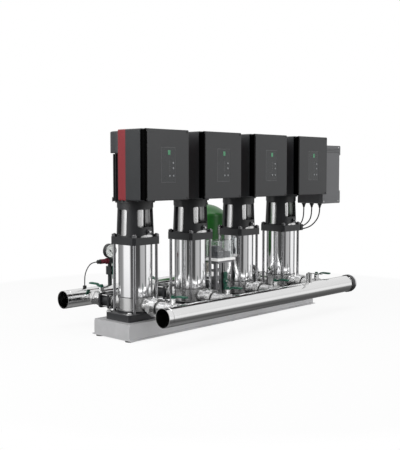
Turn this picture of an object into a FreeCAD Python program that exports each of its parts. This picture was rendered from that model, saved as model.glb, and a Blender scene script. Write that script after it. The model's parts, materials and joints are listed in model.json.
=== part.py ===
"""Booster pump set: four vertical multistage pumps with motor-mounted drives on one base frame.

Millimetres, +Z up. X runs along the row of pumps, -Y is the suction side and +Y the discharge side.
The drawing origin lies on the floor under the middle of the row; what is written out is shifted so that
the origin lies on the floor under the middle of the whole set.
"""
import FreeCAD, Part
import math
import os

os.makedirs("parts", exist_ok=True)

Vec = FreeCAD.Vector
UP = Vec(0, 0, 1)
ALONG = Vec(1, 0, 0)
ACROSS = Vec(0, 1, 0)

# Row and base frame
PUMP_COUNT = 4
PUMP_PITCH = 320.0
FOOT_HEIGHT = 5.0
FOOT_RADIUS = 18.0
BASE_LENGTH = 1218.0
BASE_WIDTH = 212.0
BASE_HEIGHT = 64.0
BASE_SHEET = 3.0
BASE_LIP = 14.0
RELIEF_RADIUS = 5.0

# Pump foot casting and port housing
PORT_ABOVE_BASE = 54.0
FOOT_LENGTH = 200.0
FOOT_WIDTH = 146.0
FOOT_CORNER = 14.0
PLATE_THICKNESS = 29.0
HOUSING_HEIGHT = 54.0
HOUSING_WALL = 3.0
NECK_RADIUS = 27.0
NECK_WALL = 3.5
NECK_END = 124.0
COLLAR_RADIUS = 32.0
COLLAR_LENGTH = 12.0
SEAM_RADIUS = 71.5
SEAM_HEIGHT = 6.0

# Sleeve, head and staybolts
SLEEVE_RADIUS = 69.0
SLEEVE_WALL = 2.5
SLEEVE_HEIGHT = 212.0
HEAD_SIDE = 146.0
HEAD_THICKNESS = 30.0
HEAD_CHAMFER = 10.0
SEAL_HEIGHT = 18.0
STAY_SPACING = 120.0
STAY_RADIUS = 6.0
STAY_HOLE_CLEARANCE = 0.4
STAY_SEAT_DEPTH = 16.0
NUT_FLATS = 19.0
NUT_HEIGHT = 10.0
STAY_TIP = 3.0
ANCHOR_RADIUS = 5.0
ANCHOR_FLATS = 16.0
ANCHOR_HEAD = 6.5
ANCHOR_INSET = 12.0

# Hydraulics inside the sleeve
STAGE_COUNT = 5
STAGE_PITCH = 40.0
CHAMBER_RADIUS = 62.0
CHAMBER_WEB = 8.0
CAVITY_RADIUS = 52.0
CHAMBER_BORE = 14.0
IMPELLER_RADIUS = 47.0
IMPELLER_DISC = 3.0
IMPELLER_HEIGHT = 16.0
IMPELLER_HUB = 13.0
BLADE_COUNT = 6
BLADE_THICKNESS = 3.0
PUMP_SHAFT_RADIUS = 9.0
BEARING_CLEARANCE = 0.05

# Motor stool, coupling and guards
STOOL_HEIGHT = 124.0
STOOL_BOTTOM_RADIUS = 75.5
STOOL_TOP_RADIUS = 70.5
STOOL_WALL = 9.0
STOOL_RIM = 8.0
SIDE_WINDOW = 50.0
SIDE_WINDOW_BASE = 6.0
FRONT_WINDOW = 84.0
FRONT_WINDOW_BASE = 40.0
WINDOW_ROUND = 8.0
GUARD_RADIUS = 41.0
GUARD_SHEET = 1.5
GUARD_SPLIT = 4.0
COVER_WIDTH = 64.0
COVER_SHEET = 1.5
COUPLING_RADIUS = 27.0
COUPLING_HEIGHT = 64.0
COUPLING_LIFT = 30.0
VENT_RADIUS = 9.0
VENT_HEIGHT = 14.0

# Motor
MOTOR_RADIUS = 87.0
MOTOR_CORE_RADIUS = 80.0
FIN_COUNT = 28
FIN_THICKNESS = 4.0
MOTOR_FLANGE_RADIUS = 73.0
MOTOR_FLANGE = 13.0
MOTOR_HEIGHT = 197.0
MOTOR_WALL = 22.0
FAN_COVER_RADIUS = 97.0
FAN_COVER_HEIGHT = 85.0
FAN_COVER_WALL = 3.0
FAN_COVER_ROUND = 5.0
MOTOR_SHAFT_RADIUS = 12.0
ROTOR_CORE_RADIUS = 45.0
ROTOR_CORE_HEIGHT = 120.0
FAN_RADIUS = 78.0
FAN_HEIGHT = 24.0
FAN_BLADES = 8

# Drive on the front of each motor
DRIVE_WIDTH = 236.0
DRIVE_HEIGHT = 274.0
DRIVE_LIFT = 12.0
DRIVE_FRONT = 188.0
LID_PLATE = 5.0
LID_DEPTH = 27.0
LID_INSET = 3.5
LID_CORNER = 5.0
CASE_DEPTH = 84.0
BAND_DEPTH = 43.0
PANEL_WIDTH = 80.0
PANEL_HEIGHT = 137.0
PANEL_SHEET = 1.6
PANEL_RIGHT = 5.0
PANEL_BELOW_TOP = 68.0
MOTOR_GAP = 0.3

# Branch lines between the pumps and the manifolds
MANIFOLD_OFFSET = 300.0
MANIFOLD_RADIUS = 38.05
MANIFOLD_WALL = 2.0
MANIFOLD_LENGTH = 1236.0
GROOVE_INSET = 16.0
GROOVE_WIDTH = 9.0
GROOVE_DEPTH = 1.0
BRANCH_RADIUS = 24.0
BRANCH_WALL = 2.5
VALVE_START = 188.0
VALVE_LENGTH = 54.0
VALVE_BODY_RADIUS = 31.0
VALVE_HEX = 50.0
STEM_RADIUS = 6.0
BALL_RADIUS = 24.0
BALL_BORE = 17.0
LEVER_LIFT = 53.0
LEVER_LENGTH = 72.0
LEVER_WIDTH = 15.0
LEVER_SHEET = 4.0
UNION_RADIUS = 30.0
UNION_LENGTH = 18.0
CHECK_RADIUS = 34.0
CHECK_FLANGE = 10.0
CHECK_FLANGE_SIDE = 78.0
DISC_RADIUS = 17.0
DISC_TRAVEL = 9.0
CLAMP_RADIUS = 38.0
CLAMP_LENGTH = 30.0
CAP_RING_RADIUS = 41.5
CAP_RING_LENGTH = 14.0
CAP_LENGTH = 26.0

# Gauge group on the discharge manifold
GAUGE_X = -362.0
RISER_RADIUS = 9.0
COCK_LIFT = 64.0
COCK_RADIUS = 16.0
TEE_LIFT = 106.0
TEE_SIDE = 24.0
GAUGE_RADIUS = 31.5
GAUGE_DEPTH = 18.0
GAUGE_LIFT = 150.0
GAUGE_TURN = 0.0
DIAL_SHEET = 1.2
POINTER_LENGTH = 21.0
COCK_HANDLE_LENGTH = 74.0
COCK_HANDLE_WIDTH = 10.0
TRANSMITTER_RADIUS = 12.0
TRANSMITTER_LENGTH = 44.0
PLUG_RADIUS = 9.0
PLUG_LENGTH = 20.0
SIGNAL_CABLE = 4.5
SOCKET_RADIUS = 8.0
SOCKET_HEIGHT = 12.0

# Diaphragm tank on the discharge manifold
TANK_X = 261.0
TANK_RADIUS = 100.0
TANK_HEIGHT = 290.0
TANK_LIFT = 46.0
TANK_DOME = 46.0
TANK_KNUCKLE = 22.0
TANK_SEAM = 3.0
TANK_NECK = 17.0

# Switch box on its strut between pumps 2 and 3
STRUT_X = -20.0
STRUT_Y = -20.0
STRUT_SIDE = 41.0
STRUT_SHEET = 2.5
STRUT_SLOT = 14.0
STRUT_SLOT_PITCH = 34.0
STRUT_FOOT = 6.0
BOX_X = -6.0
BOX_Y = -34.5
BOX_WIDTH = 108.0
BOX_DEPTH = 69.0
BOX_HEIGHT = 79.0
BOX_FLOOR = 199.0
RIM_SHEET = 10.0
RIM_OVERHANG = 6.0
CARRIER_SHEET = 10.0
HOOD_WALL = 2.5
HINGE_RADIUS = 3.0
EAR_REACH = 2.5
SWITCH_COCK_X = 15.0
SWITCH_COCK_Y = -30.0
SWITCH_COCK_LIFT = 103.0
SWITCH_COCK_RADIUS = 11.0
SWITCH_HANDLE_LENGTH = 84.0
SWITCH_HANDLE_WIDTH = 17.0
SWITCH_PIPE_RADIUS = 5.0

# Dry-run fitting on the suction manifold
FITTING_X = 300.0
FITTING_RADIUS = 12.5
FITTING_HEIGHT = 40.0
FITTING_LEVER = 72.0

# Control cabinet on the side of the last drive, with its cables
CABINET_WIDTH = 150.0
CABINET_DEPTH = 150.0
CABINET_HEIGHT = 284.0
CABINET_DROP = 47.0
CABINET_FRONT = 165.0
CABINET_LID = 22.0
CABINET_STEP = 8.0
GLAND_RADIUS = 9.0
GLAND_HEIGHT = 22.0
GLAND_X = 640.0
GLAND_PITCH = 48.0
GLAND_FIRST_Y = -23.0
POWER_CABLE = 6.0
BLOCK_LENGTH = 62.0
BLOCK_WIDTH = 15.0
BLOCK_HEIGHT = 30.0

# Heights and places worked out from the sizes above
BASE_TOP = FOOT_HEIGHT + BASE_HEIGHT
PORT_Z = BASE_TOP + PORT_ABOVE_BASE
PLATE_TOP = BASE_TOP + PLATE_THICKNESS
HOUSING_TOP = PLATE_TOP + HOUSING_HEIGHT
SLEEVE_BOTTOM = HOUSING_TOP + SEAM_HEIGHT
HEAD_BOTTOM = SLEEVE_BOTTOM + SLEEVE_HEIGHT
HEAD_TOP = HEAD_BOTTOM + HEAD_THICKNESS
STOOL_TOP = HEAD_TOP + STOOL_HEIGHT
MOTOR_BOTTOM = STOOL_TOP + MOTOR_FLANGE
MOTOR_TOP = MOTOR_BOTTOM + MOTOR_HEIGHT
FAN_TOP = MOTOR_TOP + FAN_COVER_HEIGHT
DRIVE_BOTTOM = MOTOR_BOTTOM + DRIVE_LIFT
DRIVE_TOP = DRIVE_BOTTOM + DRIVE_HEIGHT
LID_BACK = DRIVE_FRONT - LID_DEPTH
CASE_BACK = LID_BACK - CASE_DEPTH
BAND_BACK = CASE_BACK - BAND_DEPTH
VALVE_CENTRE = VALVE_START + VALVE_LENGTH / 2
VALVE_END = VALVE_START + VALVE_LENGTH
MANIFOLD_TOP = PORT_Z + MANIFOLD_RADIUS
LEVER_Z = PORT_Z + LEVER_LIFT
STAY = STAY_SPACING / 2
CABINET_LEFT = (PUMP_COUNT - 1) / 2 * PUMP_PITCH + DRIVE_WIDTH / 2
FRONT_REACH = MANIFOLD_OFFSET + FITTING_LEVER
BACK_REACH = MANIFOLD_OFFSET + TANK_RADIUS + TANK_SEAM
ORIGIN_X = (CABINET_LEFT + CABINET_WIDTH - MANIFOLD_LENGTH / 2) / 2
ORIGIN_Y = (BACK_REACH - FRONT_REACH) / 2
PUMP_XS = [(index - (PUMP_COUNT - 1) / 2) * PUMP_PITCH for index in range(PUMP_COUNT)]
LAST_PUMP_X = PUMP_XS[-1]


def box(x0, x1, y0, y1, z0, z1):
    """A block between two corners."""
    return Part.makeBox(x1 - x0, y1 - y0, z1 - z0, Vec(x0, y0, z0))


def rod(radius, length, start, direction=UP):
    """A round bar from a start point."""
    return Part.makeCylinder(radius, length, start, direction)


def tube(outer, inner, length, start, direction=UP):
    """A round tube, its bore cut right through."""
    return rod(outer, length, start, direction).cut(rod(inner, length, start, direction))


def hexagon(flats, length, start, direction=UP):
    """A hexagonal bar across the given flats."""
    radius = flats / math.sqrt(3)
    corners = [Vec(radius * math.cos(math.radians(60 * k)), radius * math.sin(math.radians(60 * k)), 0)
               for k in range(7)]
    bar = Part.Face(Part.makePolygon(corners)).extrude(Vec(0, 0, length))
    bar.Placement = FreeCAD.Placement(start, FreeCAD.Rotation(UP, direction))
    return bar


def rounded_box(x0, x1, y0, y1, z0, z1, radius, axis):
    """A block whose four edges along one axis are rounded."""
    block = box(x0, x1, y0, y1, z0, z1)
    edges = [edge for edge in block.Edges
             if abs(edge.tangentAt(edge.FirstParameter).dot(axis)) > 0.99]
    return block.makeFillet(radius, edges)


def joined(first, *others):
    """One solid from overlapping or touching shapes."""
    return first.fuse(list(others)).removeSplitter()


def moved(shape, x=0.0, y=0.0, z=0.0):
    """A copy of a shape, shifted."""
    copy = shape.copy()
    copy.translate(Vec(x, y, z))
    return copy


def mirrored(shape):
    """A copy of a shape on the other side of the row."""
    return shape.mirror(Vec(0, 0, 0), ACROSS)


def save(name, *shapes):
    """Write one node, as one solid or as a group of separate solids."""
    solids = [solid for shape in shapes for solid in shape.Solids]
    node = solids[0] if len(solids) == 1 else Part.makeCompound(solids)
    moved(node, -ORIGIN_X, -ORIGIN_Y).exportStep(f"parts/{name}.step")


def save_per_pump(name, *shapes):
    """Write one node that holds the same solids at every pump."""
    save(name, *[moved(shape, x) for x in PUMP_XS for shape in shapes])


def four_corners(half_x, half_y):
    """The corner places of a rectangle about the pump axis."""
    return [(sx * half_x, sy * half_y) for sx in (-1, 1) for sy in (-1, 1)]


ANCHORS = four_corners(FOOT_LENGTH / 2 - ANCHOR_INSET, FOOT_WIDTH / 2 - ANCHOR_INSET)
STAYS = four_corners(STAY, STAY)


# Base frame: one folded sheet with end flanges and outward lips along both long sides
def base_frame():
    half_x = BASE_LENGTH / 2
    half_y = BASE_WIDTH / 2
    frame = box(-half_x, half_x, -half_y, half_y, FOOT_HEIGHT, BASE_TOP)
    frame = frame.cut(box(-half_x + BASE_SHEET, half_x - BASE_SHEET, -half_y + BASE_SHEET,
                          half_y - BASE_SHEET, FOOT_HEIGHT, BASE_TOP - BASE_SHEET))
    lips = [box(-half_x, half_x, side * half_y - (BASE_LIP if side < 0 else 0),
                side * half_y + (BASE_LIP if side > 0 else 0), FOOT_HEIGHT, FOOT_HEIGHT + BASE_SHEET)
            for side in (-1, 1)]
    frame = joined(frame, *lips)
    reliefs = [rod(RELIEF_RADIUS, 2 * BASE_SHEET, Vec(sx * half_x - BASE_SHEET, sy * half_y, BASE_TOP), ALONG)
               for sx in (-1, 1) for sy in (-1, 1)]
    holes = [rod(ANCHOR_RADIUS + STAY_HOLE_CLEARANCE, BASE_SHEET, Vec(x + ax, ay, BASE_TOP - BASE_SHEET))
             for x in PUMP_XS for ax, ay in ANCHORS]
    return frame.cut(reliefs + holes)


def base_feet():
    half_x = BASE_LENGTH / 2 - FOOT_RADIUS
    half_y = BASE_WIDTH / 2 - FOOT_RADIUS
    feet = []
    for x in (-half_x, 0.0, half_x):
        for y in (-half_y, half_y):
            pad = rod(FOOT_RADIUS, FOOT_HEIGHT, Vec(x, y, 0))
            stem_x = min(max(x, -half_x + BASE_SHEET), half_x - BASE_SHEET)
            stem = rod(FOOT_RADIUS / 2, BASE_HEIGHT - BASE_SHEET, Vec(stem_x, y, FOOT_HEIGHT))
            feet.append(joined(pad, stem))
    return feet


# Pump hydraulics
def pump_foot():
    half_x = FOOT_LENGTH / 2
    half_y = FOOT_WIDTH / 2
    plate = rounded_box(-half_x, half_x, -half_y, half_y, BASE_TOP, PLATE_TOP, FOOT_CORNER, UP)
    upper = [edge for edge in plate.Edges if edge.BoundBox.ZMin > PLATE_TOP - 0.01]
    plate = plate.makeChamfer(2.0, upper)
    ring = tube(SEAM_RADIUS + 6, SLEEVE_RADIUS + MOTOR_GAP, 8, Vec(0, 0, PLATE_TOP))
    ring = ring.cut(rod(NECK_RADIUS + 8, 2 * FOOT_WIDTH, Vec(0, -FOOT_WIDTH, PORT_Z), ACROSS))
    anchor_holes = [rod(ANCHOR_RADIUS + STAY_HOLE_CLEARANCE, PLATE_THICKNESS, Vec(x, y, BASE_TOP))
                    for x, y in ANCHORS]
    stay_holes = [rod(STAY_RADIUS + STAY_HOLE_CLEARANCE, STAY_SEAT_DEPTH + 10,
                      Vec(x, y, PLATE_TOP - STAY_SEAT_DEPTH)) for x, y in STAYS]
    necks = rod(NECK_RADIUS + MOTOR_GAP, FOOT_WIDTH, Vec(0, -half_y, PORT_Z), ACROSS)
    return joined(plate, ring).cut(anchor_holes + stay_holes + [necks])


def port_housing():
    shell = rod(SLEEVE_RADIUS, HOUSING_HEIGHT, Vec(0, 0, PLATE_TOP))
    seam = rod(SEAM_RADIUS, SEAM_HEIGHT, Vec(0, 0, HOUSING_TOP))
    necks = rod(NECK_RADIUS, 2 * NECK_END, Vec(0, -NECK_END, PORT_Z), ACROSS)
    necks = necks.common(box(-NECK_RADIUS, NECK_RADIUS, -NECK_END, NECK_END, PLATE_TOP, HOUSING_TOP))
    outer = NECK_END - COLLAR_LENGTH
    rounds = [rod(NECK_RADIUS, NECK_END - FOOT_WIDTH / 2, Vec(0, start, PORT_Z), ACROSS)
              for start in (-NECK_END, FOOT_WIDTH / 2)]
    collars = [rod(COLLAR_RADIUS, COLLAR_LENGTH / 3, Vec(0, start, PORT_Z), ACROSS)
               for start in (-NECK_END, outer, -outer - COLLAR_LENGTH / 3, NECK_END - COLLAR_LENGTH / 3)]
    body = joined(shell, seam, necks, *rounds, *collars)
    inside = rod(SLEEVE_RADIUS - HOUSING_WALL, HOUSING_HEIGHT + SEAM_HEIGHT - HOUSING_WALL,
                 Vec(0, 0, PLATE_TOP + HOUSING_WALL))
    bore = rod(NECK_RADIUS - NECK_WALL, 2 * NECK_END, Vec(0, -NECK_END, PORT_Z), ACROSS)
    bore = bore.common(box(-NECK_RADIUS, NECK_RADIUS, -NECK_END, NECK_END,
                           PLATE_TOP + HOUSING_WALL, HOUSING_TOP))
    return body.cut([inside, bore])


CHAMBER_BOTTOM = SLEEVE_BOTTOM - 4.0
CHAMBER_TOP = CHAMBER_BOTTOM + STAGE_COUNT * STAGE_PITCH + CHAMBER_WEB
BEARING_HEIGHT = 20.0
BEARING_BOTTOM = CHAMBER_BOTTOM - BEARING_HEIGHT


def stage_chambers():
    """Diffuser stack with one open cavity per impeller, carried on the housing wall by its rim."""
    stack = rod(CHAMBER_RADIUS, CHAMBER_TOP - CHAMBER_BOTTOM, Vec(0, 0, CHAMBER_BOTTOM))
    rim = rod(SLEEVE_RADIUS - HOUSING_WALL - 0.2, CHAMBER_WEB, Vec(0, 0, CHAMBER_BOTTOM))
    bearing = rod(PUMP_SHAFT_RADIUS + 8, BEARING_HEIGHT, Vec(0, 0, BEARING_BOTTOM))
    body = joined(stack, rim, bearing)
    cavities = [rod(CAVITY_RADIUS, STAGE_PITCH - CHAMBER_WEB,
                    Vec(0, 0, CHAMBER_BOTTOM + CHAMBER_WEB + index * STAGE_PITCH))
                for index in range(STAGE_COUNT)]
    eye = rod(CHAMBER_BORE, CHAMBER_TOP - CHAMBER_BOTTOM, Vec(0, 0, CHAMBER_BOTTOM))
    inlet = rod(PUMP_SHAFT_RADIUS + BEARING_CLEARANCE, BEARING_HEIGHT, Vec(0, 0, BEARING_BOTTOM))
    return body.cut(cavities + [eye, inlet])


def pump_sleeve():
    return tube(SLEEVE_RADIUS, SLEEVE_RADIUS - SLEEVE_WALL, SLEEVE_HEIGHT, Vec(0, 0, SLEEVE_BOTTOM))


def pump_head():
    half = HEAD_SIDE / 2
    block = box(-half, half, -half, half, HEAD_BOTTOM, HEAD_TOP)
    upright = [edge for edge in block.Edges if abs(edge.tangentAt(0).z) > 0.99]
    block = block.makeChamfer(HEAD_CHAMFER, upright)
    spigot = rod(STOOL_BOTTOM_RADIUS - STOOL_WALL - 1, 4, Vec(0, 0, HEAD_TOP))
    seal = rod(PUMP_SHAFT_RADIUS + 10, SEAL_HEIGHT, Vec(0, 0, HEAD_TOP))
    collar = rod(SLEEVE_RADIUS - SLEEVE_WALL - 0.2, 6, Vec(0, 0, HEAD_BOTTOM - 6))
    body = joined(block, spigot, seal, collar)
    bore = rod(PUMP_SHAFT_RADIUS + BEARING_CLEARANCE, HEAD_THICKNESS + 2 * SEAL_HEIGHT,
               Vec(0, 0, HEAD_BOTTOM - 10))
    holes = [rod(STAY_RADIUS + STAY_HOLE_CLEARANCE, HEAD_THICKNESS, Vec(x, y, HEAD_BOTTOM)) for x, y in STAYS]
    return body.cut([bore] + holes)


def staybolt(x, y):
    bottom = PLATE_TOP - STAY_SEAT_DEPTH
    top = HEAD_TOP + NUT_HEIGHT + STAY_TIP
    return rod(STAY_RADIUS, top - bottom, Vec(x, y, bottom))


def stay_nut(x, y):
    nut = hexagon(NUT_FLATS, NUT_HEIGHT, Vec(x, y, HEAD_TOP))
    return nut.cut(rod(STAY_RADIUS, NUT_HEIGHT, Vec(x, y, HEAD_TOP)))


def anchor_bolt(x, y):
    shank = rod(ANCHOR_RADIUS, PLATE_THICKNESS + BASE_SHEET + NUT_HEIGHT,
                Vec(x, y, BASE_TOP - BASE_SHEET - NUT_HEIGHT))
    head = hexagon(ANCHOR_FLATS, ANCHOR_HEAD, Vec(x, y, PLATE_TOP))
    nut = hexagon(ANCHOR_FLATS, NUT_HEIGHT - 2, Vec(x, y, BASE_TOP - BASE_SHEET - NUT_HEIGHT + 2))
    return joined(shank, head, nut)


# Motor stool and what it guards
def motor_stool():
    outer = Part.makeCone(STOOL_BOTTOM_RADIUS, STOOL_TOP_RADIUS, STOOL_HEIGHT, Vec(0, 0, HEAD_TOP))
    top_rim = rod(MOTOR_FLANGE_RADIUS, STOOL_RIM, Vec(0, 0, STOOL_TOP - STOOL_RIM))
    inner = Part.makeCone(STOOL_BOTTOM_RADIUS - STOOL_WALL, STOOL_TOP_RADIUS - STOOL_WALL, STOOL_HEIGHT,
                          Vec(0, 0, HEAD_TOP))
    reach = 2 * STOOL_BOTTOM_RADIUS
    top = STOOL_TOP - STOOL_RIM - SIDE_WINDOW_BASE
    half = SIDE_WINDOW / 2
    side = rounded_box(-reach, reach, -half, half, HEAD_TOP + SIDE_WINDOW_BASE, top, WINDOW_ROUND, ALONG)
    half = FRONT_WINDOW / 2
    front = rounded_box(-half, half, -reach, reach, HEAD_TOP + FRONT_WINDOW_BASE, top, WINDOW_ROUND, ACROSS)
    vents = rod(VENT_RADIUS - 3, STOOL_WALL + 20, Vec(0, -STOOL_BOTTOM_RADIUS - 2, HEAD_TOP + 22), ACROSS)
    nut_room = [rod(NUT_FLATS / 2 + 3, NUT_HEIGHT + 4, Vec(x, y, HEAD_TOP)) for x, y in STAYS]
    return joined(outer, top_rim).cut([inner, side, front, vents] + nut_room)


def coupling_guard(side):
    """One curved sheet that closes two windows of the stool from inside."""
    ring = tube(GUARD_RADIUS, GUARD_RADIUS - GUARD_SHEET, STOOL_HEIGHT - 4 - 0.3, Vec(0, 0, HEAD_TOP + 4))
    half = box(-2 * GUARD_RADIUS, 2 * GUARD_RADIUS, GUARD_SPLIT / 2, 2 * GUARD_RADIUS, HEAD_TOP, STOOL_TOP)
    return ring.common(half if side > 0 else mirrored(half))


def side_cover(side):
    """Curved sheet inside the stool wall that closes one of its two side windows."""
    rise = HEAD_TOP + 4.3
    height = STOOL_HEIGHT - 4.6
    fall = (STOOL_BOTTOM_RADIUS - STOOL_TOP_RADIUS) / STOOL_HEIGHT
    low = STOOL_BOTTOM_RADIUS - STOOL_WALL - fall * 4.3 - 0.1
    high = low - fall * height
    sheet = Part.makeCone(low, high, height, Vec(0, 0, rise))
    sheet = sheet.cut(Part.makeCone(low - COVER_SHEET, high - COVER_SHEET, height, Vec(0, 0, rise)))
    reach = 2 * STOOL_BOTTOM_RADIUS
    half = COVER_WIDTH / 2
    band = box(0, reach, -half, half, HEAD_TOP, STOOL_TOP)
    if side < 0:
        band = moved(band, -reach)
    return sheet.common(band)


def vent_plug():
    """Bleed screw in the front wall of the stool foot, with its hexagon and slotted tip."""
    face = -STOOL_BOTTOM_RADIUS
    shank = rod(VENT_RADIUS - 3.3, STOOL_WALL, Vec(0, face, HEAD_TOP + 22), ACROSS)
    head = hexagon(2 * VENT_RADIUS, 7, Vec(0, face - 7, HEAD_TOP + 22), ACROSS)
    tip = rod(4, VENT_HEIGHT - 7, Vec(0, face - VENT_HEIGHT, HEAD_TOP + 22), ACROSS)
    return joined(head, shank, tip)


# Motor
def motor_housing():
    """Finned barrel cast with its flange, hollow for the rotor, with a bearing at each end."""
    core = rod(MOTOR_CORE_RADIUS, MOTOR_HEIGHT, Vec(0, 0, MOTOR_BOTTOM))
    flange = rod(MOTOR_FLANGE_RADIUS, MOTOR_FLANGE, Vec(0, 0, STOOL_TOP))
    fins = []
    for index in range(FIN_COUNT):
        fin = box(MOTOR_CORE_RADIUS - 5, MOTOR_RADIUS, -FIN_THICKNESS / 2, FIN_THICKNESS / 2,
                  MOTOR_BOTTOM + 6, MOTOR_TOP - 4)
        fin.rotate(Vec(0, 0, 0), UP, index * 360.0 / FIN_COUNT)
        fins.append(fin)
    body = joined(core, flange, *fins)
    space = rod(ROTOR_CORE_RADIUS + 6, MOTOR_HEIGHT - 2 * MOTOR_WALL, Vec(0, 0, MOTOR_BOTTOM + MOTOR_WALL))
    shaft = rod(MOTOR_SHAFT_RADIUS + BEARING_CLEARANCE, MOTOR_HEIGHT + MOTOR_FLANGE, Vec(0, 0, STOOL_TOP))
    return body.cut([space, shaft])


def fan_cover():
    """Round cowl with ring slots in its top, open below onto the fins."""
    outer = rod(FAN_COVER_RADIUS, FAN_COVER_HEIGHT, Vec(0, 0, MOTOR_TOP))
    rim = [edge for edge in outer.Edges if edge.BoundBox.ZMin > FAN_TOP - 0.01]
    outer = outer.makeFillet(FAN_COVER_ROUND, rim)
    inner = rod(FAN_COVER_RADIUS - FAN_COVER_WALL, FAN_COVER_HEIGHT - FAN_COVER_WALL, Vec(0, 0, MOTOR_TOP))
    top = [edge for edge in inner.Edges if edge.BoundBox.ZMin > FAN_TOP - FAN_COVER_WALL - 0.01]
    inner = inner.makeFillet(FAN_COVER_ROUND - FAN_COVER_WALL, top)
    slots = []
    for radius in (24.0, 38.0, 52.0, 66.0):
        slots.append(tube(radius + 7, radius, FAN_COVER_WALL, Vec(0, 0, FAN_TOP - FAN_COVER_WALL)))
    spokes = [box(-FAN_COVER_RADIUS, FAN_COVER_RADIUS, -3, 3, FAN_TOP - FAN_COVER_WALL, FAN_TOP)]
    spokes.append(spokes[0].copy())
    spokes[1].rotate(Vec(0, 0, 0), UP, 90)
    slots = [slot.cut(spokes) for slot in slots]
    seat = tube(FAN_COVER_RADIUS - 1, MOTOR_CORE_RADIUS, FAN_COVER_WALL, Vec(0, 0, MOTOR_TOP))
    lugs = seat.common(spokes_at(MOTOR_TOP))
    return joined(outer.cut([inner] + slots), lugs)


def spokes_at(height):
    """Four short arms that seat the cowl on the end of the barrel."""
    arm = box(-FAN_COVER_RADIUS, FAN_COVER_RADIUS, -9, 9, height, height + FAN_COVER_WALL)
    other = arm.copy()
    other.rotate(Vec(0, 0, 0), UP, 90)
    return arm.fuse(other)


# Rotor of one pump: shaft, impellers, coupling halves, motor rotor and fan
def pump_rotor():
    shaft_top = STOOL_TOP - 24
    middle = HEAD_TOP + COUPLING_LIFT + COUPLING_HEIGHT / 2
    pump_shaft = rod(PUMP_SHAFT_RADIUS, middle - BEARING_BOTTOM, Vec(0, 0, BEARING_BOTTOM))
    motor_shaft = rod(MOTOR_SHAFT_RADIUS, FAN_TOP - FAN_COVER_WALL - 8 - middle, Vec(0, 0, middle))
    core = rod(ROTOR_CORE_RADIUS, ROTOR_CORE_HEIGHT,
               Vec(0, 0, MOTOR_BOTTOM + (MOTOR_HEIGHT - ROTOR_CORE_HEIGHT) / 2))
    motor_shaft = joined(motor_shaft, core)
    coupling = rod(COUPLING_RADIUS, COUPLING_HEIGHT, Vec(0, 0, HEAD_TOP + COUPLING_LIFT))
    coupling = coupling.cut([pump_shaft, motor_shaft])
    halves = [coupling.common(box(-50, 50, 1, 50, HEAD_TOP, shaft_top)),
              coupling.common(box(-50, 50, -50, -1, HEAD_TOP, shaft_top))]
    wheels = [impeller(CHAMBER_BOTTOM + CHAMBER_WEB + index * STAGE_PITCH
                       + (STAGE_PITCH - CHAMBER_WEB - IMPELLER_HEIGHT) / 2) for index in range(STAGE_COUNT)]
    return [pump_shaft, motor_shaft] + halves + wheels + [cooling_fan()]


def impeller(bottom):
    """Closed impeller: two discs with curved blades between them, on a hub."""
    lower = rod(IMPELLER_RADIUS, IMPELLER_DISC, Vec(0, 0, bottom))
    upper = rod(IMPELLER_RADIUS, IMPELLER_DISC, Vec(0, 0, bottom + IMPELLER_HEIGHT - IMPELLER_DISC))
    hub = rod(IMPELLER_HUB, IMPELLER_HEIGHT, Vec(0, 0, bottom))
    arc = IMPELLER_RADIUS * 0.5
    vane = tube(arc, arc - BLADE_THICKNESS, IMPELLER_HEIGHT, Vec(arc, 0, bottom))
    vane = vane.common(box(0, IMPELLER_RADIUS, 0, IMPELLER_RADIUS, bottom, bottom + IMPELLER_HEIGHT))
    vane = vane.common(rod(IMPELLER_RADIUS, IMPELLER_HEIGHT, Vec(0, 0, bottom)))
    blades = []
    for index in range(BLADE_COUNT):
        blade = vane.copy()
        blade.rotate(Vec(0, 0, 0), UP, index * 360.0 / BLADE_COUNT)
        blades.append(blade)
    return joined(lower, upper, hub, *blades).cut(rod(PUMP_SHAFT_RADIUS, IMPELLER_HEIGHT, Vec(0, 0, bottom)))


def cooling_fan():
    bottom = MOTOR_TOP + 30
    hub = rod(MOTOR_SHAFT_RADIUS + 10, FAN_HEIGHT, Vec(0, 0, bottom))
    disc = rod(FAN_RADIUS, 3, Vec(0, 0, bottom))
    blades = []
    for index in range(FAN_BLADES):
        blade = box(MOTOR_SHAFT_RADIUS + 5, FAN_RADIUS, -1.5, 1.5, bottom, bottom + FAN_HEIGHT)
        blade.rotate(Vec(0, 0, 0), UP, index * 360.0 / FAN_BLADES)
        blades.append(blade)
    return joined(hub, disc, *blades).cut(rod(MOTOR_SHAFT_RADIUS, FAN_HEIGHT, Vec(0, 0, bottom)))


# Drive
def motor_clearance():
    """The space that the barrel and cowl take out of the back of the drive."""
    barrel = rod(MOTOR_RADIUS + MOTOR_GAP, MOTOR_TOP - STOOL_TOP, Vec(0, 0, STOOL_TOP))
    cowl = rod(FAN_COVER_RADIUS + MOTOR_GAP, FAN_COVER_HEIGHT + 20, Vec(0, 0, MOTOR_TOP))
    return [barrel, cowl]


def drive_band():
    half = DRIVE_WIDTH / 2
    band = rounded_box(-half, half, -CASE_BACK, -BAND_BACK, DRIVE_BOTTOM, DRIVE_TOP, LID_CORNER, ACROSS)
    return band.cut(motor_clearance())


def drive_case():
    half = DRIVE_WIDTH / 2
    case = rounded_box(-half, half, -LID_BACK, -CASE_BACK, DRIVE_BOTTOM, DRIVE_TOP, LID_CORNER, ACROSS)
    return case.cut(motor_clearance())


PANEL_LEFT = PANEL_RIGHT - PANEL_WIDTH / 2
PANEL_TOP = DRIVE_TOP - PANEL_BELOW_TOP


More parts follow.
